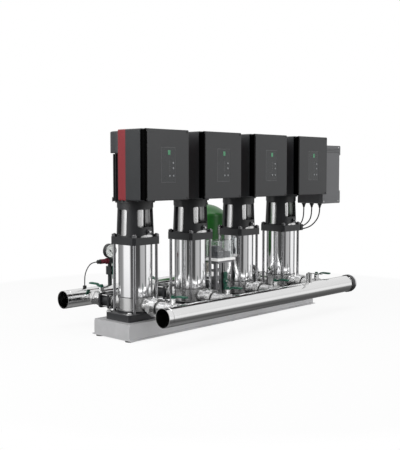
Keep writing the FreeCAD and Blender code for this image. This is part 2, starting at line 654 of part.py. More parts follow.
def drive_lid():
    half = DRIVE_WIDTH / 2
    plate = rounded_box(-half, half, -DRIVE_FRONT, -DRIVE_FRONT + LID_PLATE, DRIVE_BOTTOM, DRIVE_TOP,
                        LID_CORNER, ACROSS)
    front = [edge for edge in plate.Edges if edge.BoundBox.YMax < -DRIVE_FRONT + 0.01]
    plate = plate.makeFillet(LID_PLATE * 0.6, front)
    inset = half - LID_INSET
    neck = rounded_box(-inset, inset, -DRIVE_FRONT + LID_PLATE, -LID_BACK, DRIVE_BOTTOM + LID_INSET,
                       DRIVE_TOP - LID_INSET, LID_CORNER - LID_INSET, ACROSS)
    recess = rounded_box(PANEL_LEFT, PANEL_LEFT + PANEL_WIDTH, -DRIVE_FRONT - 1, -DRIVE_FRONT + PANEL_SHEET,
                         PANEL_TOP - PANEL_HEIGHT, PANEL_TOP, 4, ACROSS)
    return joined(plate, neck).cut(recess)


def operating_panel():
    edge = 0.3
    return rounded_box(PANEL_LEFT + edge, PANEL_LEFT + PANEL_WIDTH - edge, -DRIVE_FRONT + 0.4,
                       -DRIVE_FRONT + PANEL_SHEET, PANEL_TOP - PANEL_HEIGHT + edge, PANEL_TOP - edge,
                        3.7, ACROSS)


# Branch lines, drawn on the discharge side and mirrored for the suction side
def isolating_valve():
    """Ball valve body with a hexagon at each end and a stem tower on top."""
    start = Vec(0, VALVE_START, PORT_Z)
    body = rod(VALVE_BODY_RADIUS, VALVE_LENGTH - 28, Vec(0, VALVE_START + 14, PORT_Z), ACROSS)
    ends = [hexagon(VALVE_HEX, 14, start, ACROSS),
            hexagon(VALVE_HEX, 14, Vec(0, VALVE_END - 14, PORT_Z), ACROSS)]
    tower = rod(STEM_RADIUS + 5, LEVER_LIFT - 5, Vec(0, VALVE_CENTRE, PORT_Z))
    body = joined(body, tower, *ends)
    bore = rod(BALL_BORE, VALVE_LENGTH, start, ACROSS)
    ball = Part.makeSphere(BALL_RADIUS + 0.3, Vec(0, VALVE_CENTRE, PORT_Z))
    stem = rod(STEM_RADIUS + BEARING_CLEARANCE, LEVER_LIFT, Vec(0, VALVE_CENTRE, PORT_Z))
    return body.cut([bore, ball, stem])


def valve_lever():
    """Ball, stem and bent sheet lever of one isolating valve, in line with the pipe when open."""
    ball = Part.makeSphere(BALL_RADIUS, Vec(0, VALVE_CENTRE, PORT_Z))
    ball = ball.cut(rod(BALL_BORE, 2 * BALL_RADIUS, Vec(0, VALVE_CENTRE - BALL_RADIUS, PORT_Z), ACROSS))
    stem = rod(STEM_RADIUS, LEVER_LIFT + LEVER_SHEET + 3 - BALL_RADIUS + 4,
               Vec(0, VALVE_CENTRE, PORT_Z + BALL_RADIUS - 4))
    hub = rod(LEVER_WIDTH / 2 + 2, LEVER_SHEET, Vec(0, VALVE_CENTRE, LEVER_Z - LEVER_SHEET))
    half = LEVER_WIDTH / 2
    rise = 8.0
    profile = [Vec(0, 0, -LEVER_SHEET), Vec(0, 16, -LEVER_SHEET), Vec(0, 30, rise - LEVER_SHEET),
               Vec(0, LEVER_LENGTH, rise - LEVER_SHEET), Vec(0, LEVER_LENGTH, rise), Vec(0, 28, rise),
               Vec(0, 14, 0), Vec(0, 0, 0)]
    profile.append(profile[0])
    blade = Part.Face(Part.makePolygon(profile)).extrude(Vec(LEVER_WIDTH, 0, 0))
    blade.translate(Vec(-half, VALVE_CENTRE, LEVER_Z))
    nut = hexagon(13, 5, Vec(0, VALVE_CENTRE, LEVER_Z))
    return joined(ball, stem, hub, blade, nut)


def union_nut(start):
    """Ring nut with the pipe stub that it pulls up."""
    nut = hexagon(2 * UNION_RADIUS * 0.92, UNION_LENGTH, Vec(0, start, PORT_Z), ACROSS)
    return nut.cut(rod(BRANCH_RADIUS, UNION_LENGTH, Vec(0, start, PORT_Z), ACROSS))


def check_valve():
    """Black non-return valve body between two square flanges."""
    start = NECK_END
    length = VALVE_START - NECK_END
    barrel = rod(CHECK_RADIUS - 3, length, Vec(0, start, PORT_Z), ACROSS)
    half = CHECK_FLANGE_SIDE / 2
    flanges = [rounded_box(-half, half, y, y + CHECK_FLANGE, PORT_Z - half + 8, PORT_Z + half - 8, 8, ACROSS)
               for y in (start, start + length - CHECK_FLANGE)]
    body = joined(barrel, *flanges)
    bore = rod(BALL_BORE, length, Vec(0, start, PORT_Z), ACROSS)
    room = rod(CHECK_RADIUS - 8, length - 20, Vec(0, start + 10, PORT_Z), ACROSS)
    guide = rod(2.5 + BEARING_CLEARANCE, 8, Vec(0, start + length - 16, PORT_Z), ACROSS)
    bridge = box(-CHECK_RADIUS + 6, CHECK_RADIUS - 6, start + length - 16, start + length - 10,
                 PORT_Z - 5, PORT_Z + 5)
    return joined(body.cut([bore, room]), bridge).cut(guide)


def check_disc():
    """Plate of the non-return valve with its guide pin, resting on the seat."""
    seat = NECK_END + 10
    plate = rod(DISC_RADIUS + 4, 4, Vec(0, seat, PORT_Z), ACROSS)
    pin = rod(2.5, VALVE_START - NECK_END - 19 - DISC_TRAVEL, Vec(0, seat + 4, PORT_Z), ACROSS)
    return joined(plate, pin)


def pipe_clamp():
    """Two-part grooved coupling with its bolt lugs over the suction neck collar."""
    start = -NECK_END - CLAMP_LENGTH / 2
    ring = rod(CLAMP_RADIUS, CLAMP_LENGTH, Vec(0, start, PORT_Z), ACROSS)
    lugs = box(-CLAMP_RADIUS - 14, CLAMP_RADIUS + 14, start + 4, start + CLAMP_LENGTH - 4,
               PORT_Z - 9, PORT_Z + 9)
    bolts = [rod(4, 34, Vec(side * (CLAMP_RADIUS + 7), -NECK_END, PORT_Z - 17)) for side in (-1, 1)]
    room = rod(COLLAR_RADIUS, CLAMP_LENGTH, Vec(0, start, PORT_Z), ACROSS)
    return joined(ring, lugs, *bolts).cut(room)


def suction_stub():
    """Short grooved pipe between the clamp and the isolating valve."""
    length = VALVE_START - NECK_END
    pipe = rod(NECK_RADIUS, length, Vec(0, -VALVE_START, PORT_Z), ACROSS)
    collar = rod(COLLAR_RADIUS, COLLAR_LENGTH / 3, Vec(0, -NECK_END - COLLAR_LENGTH / 3, PORT_Z), ACROSS)
    bore = rod(NECK_RADIUS - NECK_WALL, length, Vec(0, -VALVE_START, PORT_Z), ACROSS)
    return joined(pipe, collar).cut(bore)


def manifold(side):
    """Collecting pipe with its branch stubs and a grooved end."""
    start = -MANIFOLD_LENGTH / 2
    y = side * MANIFOLD_OFFSET
    pipe = rod(MANIFOLD_RADIUS, MANIFOLD_LENGTH, Vec(start, y, PORT_Z), ALONG)
    length = MANIFOLD_OFFSET - VALVE_END
    stub_start = VALVE_END if side > 0 else -MANIFOLD_OFFSET
    stubs = [rod(BRANCH_RADIUS, length, Vec(x, stub_start, PORT_Z), ACROSS) for x in PUMP_XS]
    bore = rod(MANIFOLD_RADIUS - MANIFOLD_WALL, MANIFOLD_LENGTH, Vec(start, y, PORT_Z), ALONG)
    holes = [rod(BRANCH_RADIUS - BRANCH_WALL, length, Vec(x, stub_start, PORT_Z), ACROSS) for x in PUMP_XS]
    grooves = [tube(MANIFOLD_RADIUS + 2, MANIFOLD_RADIUS - GROOVE_DEPTH, GROOVE_WIDTH,
                    Vec(x, y, PORT_Z), ALONG)
               for x in (start + GROOVE_INSET, -start - GROOVE_INSET - GROOVE_WIDTH)]
    return joined(pipe, *stubs).cut([bore] + holes + grooves)


def end_cap(side):
    """Blank cap held by a ring on the far end of a manifold."""
    x = MANIFOLD_LENGTH / 2
    y = side * MANIFOLD_OFFSET
    ring = tube(CAP_RING_RADIUS, MANIFOLD_RADIUS, CAP_RING_LENGTH, Vec(x - CAP_RING_LENGTH, y, PORT_Z), ALONG)
    cap = rod(MANIFOLD_RADIUS, CAP_LENGTH, Vec(x, y, PORT_Z), ALONG)
    rim = [edge for edge in cap.Edges if edge.BoundBox.XMin > x + CAP_LENGTH - 0.01]
    flange = rod(CAP_RING_RADIUS, 6, Vec(x, y, PORT_Z), ALONG)
    return [joined(ring, flange, cap.makeFillet(9, rim))]


# Gauge group
GAUGE_CENTRE = Vec(GAUGE_X, MANIFOLD_OFFSET, MANIFOLD_TOP + GAUGE_LIFT)
GAUGE_FACING = Vec(math.sin(math.radians(GAUGE_TURN)), -math.cos(math.radians(GAUGE_TURN)), 0)
TEE_Z = MANIFOLD_TOP + TEE_LIFT
COCK_Z = MANIFOLD_TOP + COCK_LIFT
COCK_FACE = MANIFOLD_OFFSET - COCK_RADIUS - 6


def gauge_riser():
    """Riser pipe with its shut-off cock body and the tee that carries gauge and transmitter."""
    pipe = rod(RISER_RADIUS, TEE_LIFT + 3, Vec(GAUGE_X, MANIFOLD_OFFSET, MANIFOLD_TOP - 3))
    pipe = pipe.cut(rod(MANIFOLD_RADIUS, 60, Vec(GAUGE_X - 30, MANIFOLD_OFFSET, PORT_Z), ALONG))
    cock = hexagon(2 * COCK_RADIUS, 36, Vec(GAUGE_X, MANIFOLD_OFFSET, COCK_Z - 18))
    nose = rod(8, COCK_RADIUS + 6, Vec(GAUGE_X, COCK_FACE, COCK_Z), ACROSS)
    half = TEE_SIDE / 2
    tee = box(GAUGE_X - half, GAUGE_X + half, MANIFOLD_OFFSET - half, MANIFOLD_OFFSET + half,
              TEE_Z - half, TEE_Z + half)
    spindle = rod(3 + BEARING_CLEARANCE, 12, Vec(GAUGE_X, COCK_FACE, COCK_Z), ACROSS)
    return joined(pipe, cock, nose, tee).cut(spindle)


def pressure_gauge():
    """Gauge case with its bezel, open in front of the dial, on a square stem."""
    back = GAUGE_CENTRE - GAUGE_FACING * (GAUGE_DEPTH / 2)
    case = rod(GAUGE_RADIUS, GAUGE_DEPTH, back, GAUGE_FACING)
    room = rod(GAUGE_RADIUS - 3, GAUGE_DEPTH - 6, back + GAUGE_FACING * 6, GAUGE_FACING)
    case = case.cut(room)
    stem_bottom = TEE_Z + TEE_SIDE / 2
    stem = rod(7, GAUGE_CENTRE.z - GAUGE_RADIUS + 4 - stem_bottom, Vec(GAUGE_X, MANIFOLD_OFFSET, stem_bottom))
    stem = stem.cut(rod(GAUGE_RADIUS, GAUGE_DEPTH, back, GAUGE_FACING))
    boss = rod(4, 4, back + GAUGE_FACING * 6, GAUGE_FACING)
    pivot_hole = rod(1.2 + BEARING_CLEARANCE, 12, back + GAUGE_FACING * 2, GAUGE_FACING)
    dial = rod(GAUGE_RADIUS - 3, DIAL_SHEET, back + GAUGE_FACING * 10, GAUGE_FACING)
    dial = dial.cut(rod(3, GAUGE_DEPTH, back, GAUGE_FACING))
    posts = rod(GAUGE_RADIUS - 3, 4, back + GAUGE_FACING * 6, GAUGE_FACING)
    posts = posts.cut(rod(GAUGE_RADIUS - 6, 4, back + GAUGE_FACING * 6, GAUGE_FACING))
    return [joined(case, boss, posts, stem).cut(pivot_hole), dial]


def gauge_pointer():
    """Slim pointer on its arbor, standing at the low end of the scale."""
    back = GAUGE_CENTRE - GAUGE_FACING * (GAUGE_DEPTH / 2)
    arbor = rod(1.2, 12, back + GAUGE_FACING * 3, GAUGE_FACING)
    hub = rod(3.5, 1.5, back + GAUGE_FACING * 13, GAUGE_FACING)
    blade = box(-0.9, 0.9, 13, 14.5, -POINTER_LENGTH / 3, POINTER_LENGTH)
    blade.rotate(Vec(0, 0, 0), ACROSS, 225)
    blade.rotate(Vec(0, 0, 0), UP, 180 + GAUGE_TURN)
    blade.translate(back)
    return joined(arbor, hub, blade)


def cock_handle():
    """Flat wing handle in front of the gauge cock."""
    spindle = rod(3, 14, Vec(GAUGE_X, COCK_FACE - 5, COCK_Z), ACROSS)
    half = COCK_HANDLE_LENGTH / 2
    wing = rounded_box(GAUGE_X - COCK_HANDLE_WIDTH / 2, GAUGE_X + COCK_HANDLE_WIDTH / 2, COCK_FACE - 5,
                       COCK_FACE - 0.5, COCK_Z - half, COCK_Z + half, 4, ACROSS)
    return joined(spindle, wing)


TRANSMITTER_START = GAUGE_X - TEE_SIDE / 2
PLUG_START = TRANSMITTER_START - TRANSMITTER_LENGTH
SIGNAL_EXIT = PLUG_START - PLUG_LENGTH


def pressure_transmitter():
    """Screwed-in sensor with its hexagon, barrel and cable plug."""
    nut = hexagon(2 * TRANSMITTER_RADIUS, 10, Vec(TRANSMITTER_START, MANIFOLD_OFFSET, TEE_Z), -ALONG)
    barrel = rod(TRANSMITTER_RADIUS - 1.5, TRANSMITTER_LENGTH - 10,
                 Vec(TRANSMITTER_START - 10, MANIFOLD_OFFSET, TEE_Z), -ALONG)
    plug = rod(PLUG_RADIUS, PLUG_LENGTH * 0.6, Vec(PLUG_START, MANIFOLD_OFFSET, TEE_Z), -ALONG)
    tail = Part.makeCone(PLUG_RADIUS * 0.7, SIGNAL_CABLE / 2 + 1, PLUG_LENGTH * 0.4,
                         Vec(PLUG_START - PLUG_LENGTH * 0.6, MANIFOLD_OFFSET, TEE_Z), -ALONG)
    return [joined(nut, barrel), joined(plug, tail)]


def cord_tube(points, diameter, name):
    """Round cord along straight runs joined by tangent arcs; prints each arc's radius."""
    edges = []
    start = points[0]
    for before, corner, after in zip(points, points[1:], points[2:]):
        arriving = corner - before
        leaving = after - corner
        shorter = min(arriving.Length, leaving.Length)
        turn = arriving.getAngle(leaving)
        cut = 0.45 * shorter
        radius = cut / math.tan(turn / 2)
        print(name, "radius", round(radius, 1), "turn", round(math.degrees(turn), 1))
        arriving.normalize()
        leaving.normalize()
        first = corner - arriving * cut
        last = corner + leaving * cut
        inward = leaving - arriving
        inward.normalize()
        to_centre = radius / math.cos(turn / 2)
        middle = corner + inward * (to_centre - radius)
        edges.append(Part.LineSegment(start, first).toShape())
        edges.append(Part.Arc(first, middle, last).toShape())
        start = last
    edges.append(Part.LineSegment(start, points[-1]).toShape())
    path = Part.Wire(edges)
    heading = points[1] - points[0]
    section = Part.Wire([Part.makeCircle(diameter / 2, points[0], heading)])
    solid = path.makePipeShell([section], True, False)
    expected = math.pi * diameter ** 2 / 4 * path.Length
    print(name, "length", round(path.Length, 1), "volume ratio", round(solid.Volume / expected, 4))
    return solid


SIGNAL_ROUTE = [Vec(SIGNAL_EXIT, MANIFOLD_OFFSET, TEE_Z), Vec(-464, 300, TEE_Z), Vec(-486, 301, 247),
                Vec(-499, 302, 220), Vec(-503, 300, 194),
                Vec(-503, 300, MANIFOLD_TOP + SOCKET_HEIGHT - 2)]


def signal_socket():
    """Small moulded cable entry on the crown of the discharge manifold."""
    end = SIGNAL_ROUTE[-1]
    boss = rod(SOCKET_RADIUS, SOCKET_HEIGHT, Vec(end.x, MANIFOLD_OFFSET, MANIFOLD_TOP - 2))
    pipe = rod(MANIFOLD_RADIUS, 40, Vec(end.x - 20, MANIFOLD_OFFSET, PORT_Z), ALONG)
    return boss.cut(pipe)


# Tank
def diaphragm_tank():
    """Steel vessel with a domed end each way and a rolled seam round its middle."""
    bottom = MANIFOLD_TOP + TANK_LIFT
    top = bottom + TANK_HEIGHT
    sphere_radius = (TANK_RADIUS ** 2 + TANK_DOME ** 2) / (2 * TANK_DOME)
    shell = rod(TANK_RADIUS, TANK_HEIGHT, Vec(0, 0, bottom))
    shell = shell.common(Part.makeSphere(sphere_radius, Vec(0, 0, bottom + sphere_radius)).fuse(
        rod(TANK_RADIUS, TANK_HEIGHT, Vec(0, 0, bottom + TANK_DOME))))
    shell = shell.common(Part.makeSphere(sphere_radius, Vec(0, 0, top - sphere_radius)).fuse(
        rod(TANK_RADIUS, TANK_HEIGHT, Vec(0, 0, top - TANK_DOME - TANK_HEIGHT))))
    shell = shell.removeSplitter()
    knuckles = [edge for edge in shell.Edges
                if edge.BoundBox.ZLength < 0.01 and edge.BoundBox.XLength > TANK_RADIUS]
    vessel = shell.makeFillet(TANK_KNUCKLE, knuckles)
    seam = rod(TANK_RADIUS + TANK_SEAM, 8, Vec(0, 0, (bottom + top) / 2 - 4))
    neck = rod(TANK_NECK, 8, Vec(0, 0, bottom))
    return moved(joined(vessel, seam, neck), TANK_X, MANIFOLD_OFFSET)


def tank_connector():
    """Hexagon nipple that carries the tank on the manifold."""
    nipple = rod(TANK_NECK - 3, TANK_LIFT + 3, Vec(TANK_X, MANIFOLD_OFFSET, MANIFOLD_TOP - 3))
    nut = hexagon(2 * TANK_NECK, 20, Vec(TANK_X, MANIFOLD_OFFSET, MANIFOLD_TOP + 14))
    pipe = rod(MANIFOLD_RADIUS, 60, Vec(TANK_X - 30, MANIFOLD_OFFSET, PORT_Z), ALONG)
    return joined(nipple, nut).cut(pipe)


# Switch box
BOX_BOTTOM = BASE_TOP + BOX_FLOOR
BOX_BASE = BOX_BOTTOM + RIM_SHEET
HINGE_Y = BOX_Y + BOX_DEPTH / 2 + HINGE_RADIUS + 1
HINGE_Z = BOX_BASE + HINGE_RADIUS + 1


def strut_post():
    """Slotted channel on a foot plate, with the carrier plate for the box on top."""
    half = STRUT_SIDE / 2
    top = BOX_BOTTOM - CARRIER_SHEET
    channel = box(STRUT_X - half, STRUT_X + half, STRUT_Y - half, STRUT_Y + half, BASE_TOP, top)
    channel = channel.cut(box(STRUT_X - half + STRUT_SHEET, STRUT_X + half - STRUT_SHEET,
                              STRUT_Y - half + STRUT_SHEET, STRUT_Y + half, BASE_TOP, top))
    slots = []
    height = BASE_TOP + STRUT_SLOT_PITCH / 2 + STRUT_FOOT
    while height + STRUT_SLOT_PITCH / 2 < top:
        slots.append(box(STRUT_X - STRUT_SLOT / 2, STRUT_X + STRUT_SLOT / 2, STRUT_Y - half - 1,
                         STRUT_Y - half + STRUT_SHEET + 1, height, height + 22))
        slots.append(box(STRUT_X - half - 1, STRUT_X + half + 1, STRUT_Y - STRUT_SLOT / 2,
                         STRUT_Y + STRUT_SLOT / 2, height, height + 22))
        height += STRUT_SLOT_PITCH
    foot = box(STRUT_X - half - 12, STRUT_X + half + 12, STRUT_Y - half - 8, STRUT_Y + half + 8,
               BASE_TOP, BASE_TOP + STRUT_FOOT)
    carrier = box(BOX_X - BOX_WIDTH / 2 + 8, BOX_X + BOX_WIDTH / 2 - 8, BOX_Y - BOX_DEPTH / 2 + 6,
                  BOX_Y + BOX_DEPTH / 2 - 2, top, BOX_BOTTOM)
    return joined(channel.cut(slots), foot, carrier)


def switch_box():
    """Pale tray with the switch modules, lugs and hinge pin that stand on it."""
    half_x = BOX_WIDTH / 2
    half_y = BOX_DEPTH / 2
    tray = rounded_box(BOX_X - half_x - RIM_OVERHANG, BOX_X + half_x + RIM_OVERHANG,
                       BOX_Y - half_y - RIM_OVERHANG, BOX_Y + half_y + RIM_OVERHANG + 4,
                        BOX_BOTTOM, BOX_BASE, 4, UP)
    tall = rounded_box(BOX_X - 44, BOX_X - 4, BOX_Y - 10, BOX_Y + 24, BOX_BASE, BOX_BASE + 52, 3, UP)
    step = rounded_box(BOX_X - 44, BOX_X - 4, BOX_Y - 24, BOX_Y, BOX_BASE, BOX_BASE + 30, 3, UP)
    low = rounded_box(BOX_X + 4, BOX_X + 42, BOX_Y - 24, BOX_Y + 20, BOX_BASE, BOX_BASE + 28, 3, UP)
    ears = []
    for side in (-1, 1):
        x = BOX_X + side * (half_x - 6)
        ears.append(box(x - 3, x + 3, HINGE_Y - EAR_REACH, HINGE_Y + EAR_REACH, BOX_BASE,
                        HINGE_Z + EAR_REACH))
    pin = rod(HINGE_RADIUS / 2, BOX_WIDTH - 6, Vec(BOX_X - half_x + 3, HINGE_Y, HINGE_Z), ALONG)
    return joined(tray, tall, step, low, *ears, pin)


def switch_hood():
    """Clear hood, open below, with the two knuckles that turn on the tray's pin."""
    half_x = BOX_WIDTH / 2
    half_y = BOX_DEPTH / 2
    low = BOX_BASE + 0.3
    outer = rounded_box(BOX_X - half_x, BOX_X + half_x, BOX_Y - half_y, BOX_Y + half_y, low,
                        BOX_BASE + BOX_HEIGHT, 6, UP)
    inner = rounded_box(BOX_X - half_x + HOOD_WALL, BOX_X + half_x - HOOD_WALL, BOX_Y - half_y + HOOD_WALL,
                        BOX_Y + half_y - HOOD_WALL, low, BOX_BASE + BOX_HEIGHT - HOOD_WALL, 4, UP)
    hood = outer.cut(inner)
    knuckles = []
    for side in (-1, 1):
        x = BOX_X + side * (half_x - 22)
        knuckles.append(rod(HINGE_RADIUS, 16, Vec(x - 8, HINGE_Y, HINGE_Z), ALONG))
        knuckles.append(box(x - 8, x + 8, BOX_Y + half_y - 0.5, HINGE_Y, low, HINGE_Z + HINGE_RADIUS))
    pin = rod(HINGE_RADIUS / 2 + BEARING_CLEARANCE, BOX_WIDTH, Vec(BOX_X - half_x, HINGE_Y, HINGE_Z), ALONG)
    return joined(hood, *knuckles).cut(pin)


SWITCH_COCK_Z = BASE_TOP + SWITCH_COCK_LIFT
SWITCH_FACE = SWITCH_COCK_Y - SWITCH_COCK_RADIUS - 4


def switch_cock():
    """Shut-off cock beside the strut and the sensing pipe from the suction manifold up to the box."""
    drop = BASE_TOP + 41
    pipe_x = SWITCH_COCK_X
    bend = 16.0
    centre = Vec(pipe_x, SWITCH_COCK_Y - bend, drop + bend)
    upright = rod(SWITCH_PIPE_RADIUS, BOX_BOTTOM - drop - bend, Vec(pipe_x, SWITCH_COCK_Y, drop + bend))
    reach = MANIFOLD_OFFSET - MANIFOLD_RADIUS + SWITCH_COCK_Y - bend + 6
    level = rod(SWITCH_PIPE_RADIUS, reach, Vec(pipe_x, SWITCH_COCK_Y - bend, drop), -ACROSS)
    ring = Part.makeTorus(bend, SWITCH_PIPE_RADIUS, centre, ALONG)
    quarter = ring.common(box(pipe_x - 20, pipe_x + 20, SWITCH_COCK_Y - bend, SWITCH_COCK_Y + 20,
                              drop - 20, drop + bend))
    cock = hexagon(2 * SWITCH_COCK_RADIUS, 34, Vec(pipe_x, SWITCH_COCK_Y, SWITCH_COCK_Z - 17))
    nose = rod(7, SWITCH_COCK_RADIUS + 4, Vec(pipe_x, SWITCH_FACE, SWITCH_COCK_Z), ACROSS)
    manifold_pipe = rod(MANIFOLD_RADIUS, 60, Vec(pipe_x - 30, -MANIFOLD_OFFSET, PORT_Z), ALONG)
    spindle = rod(3 + BEARING_CLEARANCE, 12, Vec(pipe_x, SWITCH_FACE, SWITCH_COCK_Z), ACROSS)
    carrier = box(BOX_X - BOX_WIDTH / 2 + 8, BOX_X + BOX_WIDTH / 2 - 8, BOX_Y - BOX_DEPTH / 2 + 6,
                  BOX_Y + BOX_DEPTH / 2 - 2, BOX_BOTTOM - CARRIER_SHEET, BOX_BOTTOM)
    return joined(upright, quarter, level, cock, nose).cut([manifold_pipe, spindle, carrier])


def switch_cock_handle():
    """Flat upright handle held by a bolt in its middle."""
    spindle = rod(3, 14, Vec(SWITCH_COCK_X, SWITCH_FACE - 5, SWITCH_COCK_Z), ACROSS)
    head = hexagon(10, 4, Vec(SWITCH_COCK_X, SWITCH_FACE - 9, SWITCH_COCK_Z), ACROSS)
    half = SWITCH_HANDLE_LENGTH / 2
    wing = rounded_box(SWITCH_COCK_X - SWITCH_HANDLE_WIDTH / 2, SWITCH_COCK_X + SWITCH_HANDLE_WIDTH / 2,
                       SWITCH_FACE - 5, SWITCH_FACE - 0.5, SWITCH_COCK_Z - half, SWITCH_COCK_Z + half,
                        6, ACROSS)
    return joined(spindle, wing, head)


# Dry-run fitting
def dry_run_fitting():
    """Upright fitting on the crown of the suction manifold with a small bleed knob."""
    body = rod(FITTING_RADIUS, FITTING_HEIGHT + 3, Vec(FITTING_X, -MANIFOLD_OFFSET, MANIFOLD_TOP - 3))
    collar = rod(FITTING_RADIUS + 1.5, 6,
                 Vec(FITTING_X, -MANIFOLD_OFFSET, MANIFOLD_TOP + FITTING_HEIGHT - 10))
    knob = rod(5, 22, Vec(FITTING_X, -MANIFOLD_OFFSET, MANIFOLD_TOP + 12), ALONG)
    pipe = rod(MANIFOLD_RADIUS, 60, Vec(FITTING_X - 30, -MANIFOLD_OFFSET, PORT_Z), ALONG)
    stem = rod(4 + BEARING_CLEARANCE, 12,
               Vec(FITTING_X, -MANIFOLD_OFFSET, MANIFOLD_TOP + FITTING_HEIGHT - 12))
    return joined(body, collar, knob).cut([pipe, stem])


def fitting_lever():
    """Thin lever on the stem of the dry-run fitting."""
    top = MANIFOLD_TOP + FITTING_HEIGHT
    stem = rod(4, 16, Vec(FITTING_X, -MANIFOLD_OFFSET, top - 11))
    blade = box(FITTING_X - 4, FITTING_X + 4, -MANIFOLD_OFFSET - FITTING_LEVER, -MANIFOLD_OFFSET + 6,
                top + 0.5, top + 3)
    return joined(stem, blade)


# Cabinet and cables
CABINET_BOTTOM = DRIVE_BOTTOM - CABINET_DROP
CABINET_TOP = CABINET_BOTTOM + CABINET_HEIGHT


def control_cabinet():
    """Cabinet body and its front lid, with a stepped right edge and two latch notches."""
    right = CABINET_LEFT + CABINET_WIDTH
    lid_back = -CABINET_FRONT + CABINET_LID
    body = rounded_box(CABINET_LEFT, right, lid_back + 0.3, -CABINET_FRONT + CABINET_DEPTH, CABINET_BOTTOM,
                       CABINET_TOP, 6, ACROSS)
    lid = rounded_box(CABINET_LEFT, right, -CABINET_FRONT, lid_back, CABINET_BOTTOM, CABINET_TOP, 6, ACROSS)
    step_low = CABINET_BOTTOM + 62
    step_high = CABINET_TOP - 46
    steps = box(right - CABINET_STEP, right + 1, -CABINET_FRONT - 1, -CABINET_FRONT + CABINET_DEPTH + 1,
                step_low, step_high)
    notches = [box(CABINET_LEFT + 8, CABINET_LEFT + 16, -CABINET_FRONT - 1, lid_back - 6, low, low + 46)
               for low in (step_low, step_high - 52)]
    return [body.cut(steps), lid.cut([steps] + notches)]


GLAND_YS = [GLAND_FIRST_Y - index * GLAND_PITCH for index in range(3)]


def cable_gland(y):
    nut = hexagon(2 * GLAND_RADIUS, 8, Vec(GLAND_X, y, CABINET_BOTTOM), -UP)
    dome = Part.makeCone(GLAND_RADIUS - 1, POWER_CABLE / 2 + 1.5, GLAND_HEIGHT - 8,
                         Vec(GLAND_X, y, CABINET_BOTTOM - 8), -UP)
    return joined(nut, dome)


GLAND_TIP = CABINET_BOTTOM - GLAND_HEIGHT
BLOCK_LEFT = LAST_PUMP_X + HEAD_SIDE / 2
BLOCK_FACE = BLOCK_LEFT + BLOCK_WIDTH
CABLE_ROUTES = [
    [Vec(GLAND_X, GLAND_YS[0], GLAND_TIP), Vec(GLAND_X, GLAND_YS[0], 446), Vec(631, -22, 412),
     Vec(604, -20, 386), Vec(BLOCK_FACE, -20, 386)],
    [Vec(GLAND_X, GLAND_YS[1], GLAND_TIP), Vec(GLAND_X, GLAND_YS[1], 444), Vec(631, -63, 410),
     Vec(605, -40, 384), Vec(BLOCK_FACE, -40, 384)],
    [Vec(GLAND_X, GLAND_YS[2], GLAND_TIP), Vec(GLAND_X, GLAND_YS[2], 442), Vec(628, -90, 396),
     Vec(608, -60, 376), Vec(BLOCK_FACE, -60, 376)]]


def cable_block():
    """Black clamp block on the side of the last pump's head, where the three cables go in."""
    return rounded_box(BLOCK_LEFT, BLOCK_FACE, -HEAD_SIDE / 2 + 2, -HEAD_SIDE / 2 + 2 + BLOCK_LENGTH,
                       HEAD_TOP - BLOCK_HEIGHT, HEAD_TOP, 3, ALONG)


save("base_frame", base_frame())
save("base_feet", *base_feet())
save_per_pump("pump_feet", pump_foot())
save_per_pump("port_housings", port_housing())
save_per_pump("stage_chambers", stage_chambers())
save_per_pump("pump_sleeves", pump_sleeve())
save_per_pump("pump_heads", pump_head())
save_per_pump("staybolts", *[staybolt(x, y) for x, y in STAYS])
save_per_pump("fasteners", vent_plug(), *[stay_nut(x, y) for x, y in STAYS],
              *[anchor_bolt(x, y) for x, y in ANCHORS])
save_per_pump("motor_stools", motor_stool())
save_per_pump("coupling_guards", coupling_guard(1), coupling_guard(-1), side_cover(1), side_cover(-1))
save_per_pump("motor_housings", motor_housing())
save_per_pump("fan_covers", fan_cover())
save_per_pump("drive_bands", drive_band())
save_per_pump("drive_cases", drive_case())
save_per_pump("drive_lids", drive_lid())
save_per_pump("operating_panels", operating_panel())
save_per_pump("isolating_valves", isolating_valve(), mirrored(isolating_valve()))
save_per_pump("branch_fittings", union_nut(VALVE_END), mirrored(union_nut(VALVE_END)), suction_stub())
save_per_pump("check_valves", check_valve())
save_per_pump("pipe_clamps", pipe_clamp())
save("suction_manifold", manifold(-1))
save("discharge_manifold", manifold(1))
save("manifold_caps", *end_cap(-1), *end_cap(1))
save("diaphragm_tank", diaphragm_tank())
save("tank_connector", tank_connector())
save("gauge_riser", gauge_riser())
save("pressure_gauge", *pressure_gauge())
save("gauge_pointer", gauge_pointer())
save("gauge_cock_handle", cock_handle())
save("pressure_transmitter", *pressure_transmitter())
save("signal_cable", cord_tube(SIGNAL_ROUTE, SIGNAL_CABLE, "signal_cable"))
save("strut_post", strut_post())
save("switch_box", switch_box())
save("switch_hood", switch_hood())
save("switch_cock", switch_cock())
save("switch_cock_handle", switch_cock_handle())
save("dry_run_fitting", dry_run_fitting())
save("fitting_lever", fitting_lever())
save("control_cabinet", *control_cabinet())
save("cable_fittings", *[cable_gland(y) for y in GLAND_YS], cable_block(), signal_socket())
for number, route in enumerate(CABLE_ROUTES, start=1):
    save(f"power_cable_{number}", cord_tube(route, POWER_CABLE, f"power_cable_{number}"))
for number, pump_x in enumerate(PUMP_XS, start=1):
    save(f"rotor_{number}", *[moved(shape, pump_x) for shape in pump_rotor()])
    save(f"check_disc_{number}", moved(check_disc(), pump_x))
    save(f"discharge_lever_{number}", moved(valve_lever(), pump_x))
    save(f"suction_lever_{number}", moved(mirrored(valve_lever()), pump_x))
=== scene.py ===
"""Dresses the booster pump set: finishes for its solids, the detailed pieces on them, and the studio.

Run as a script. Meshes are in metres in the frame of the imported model. Places of pieces are written in
the drawing's millimetres, whose origin lies on the floor under the middle of the row of pumps, and at()
turns them into the model's metres.
"""
import json
import math

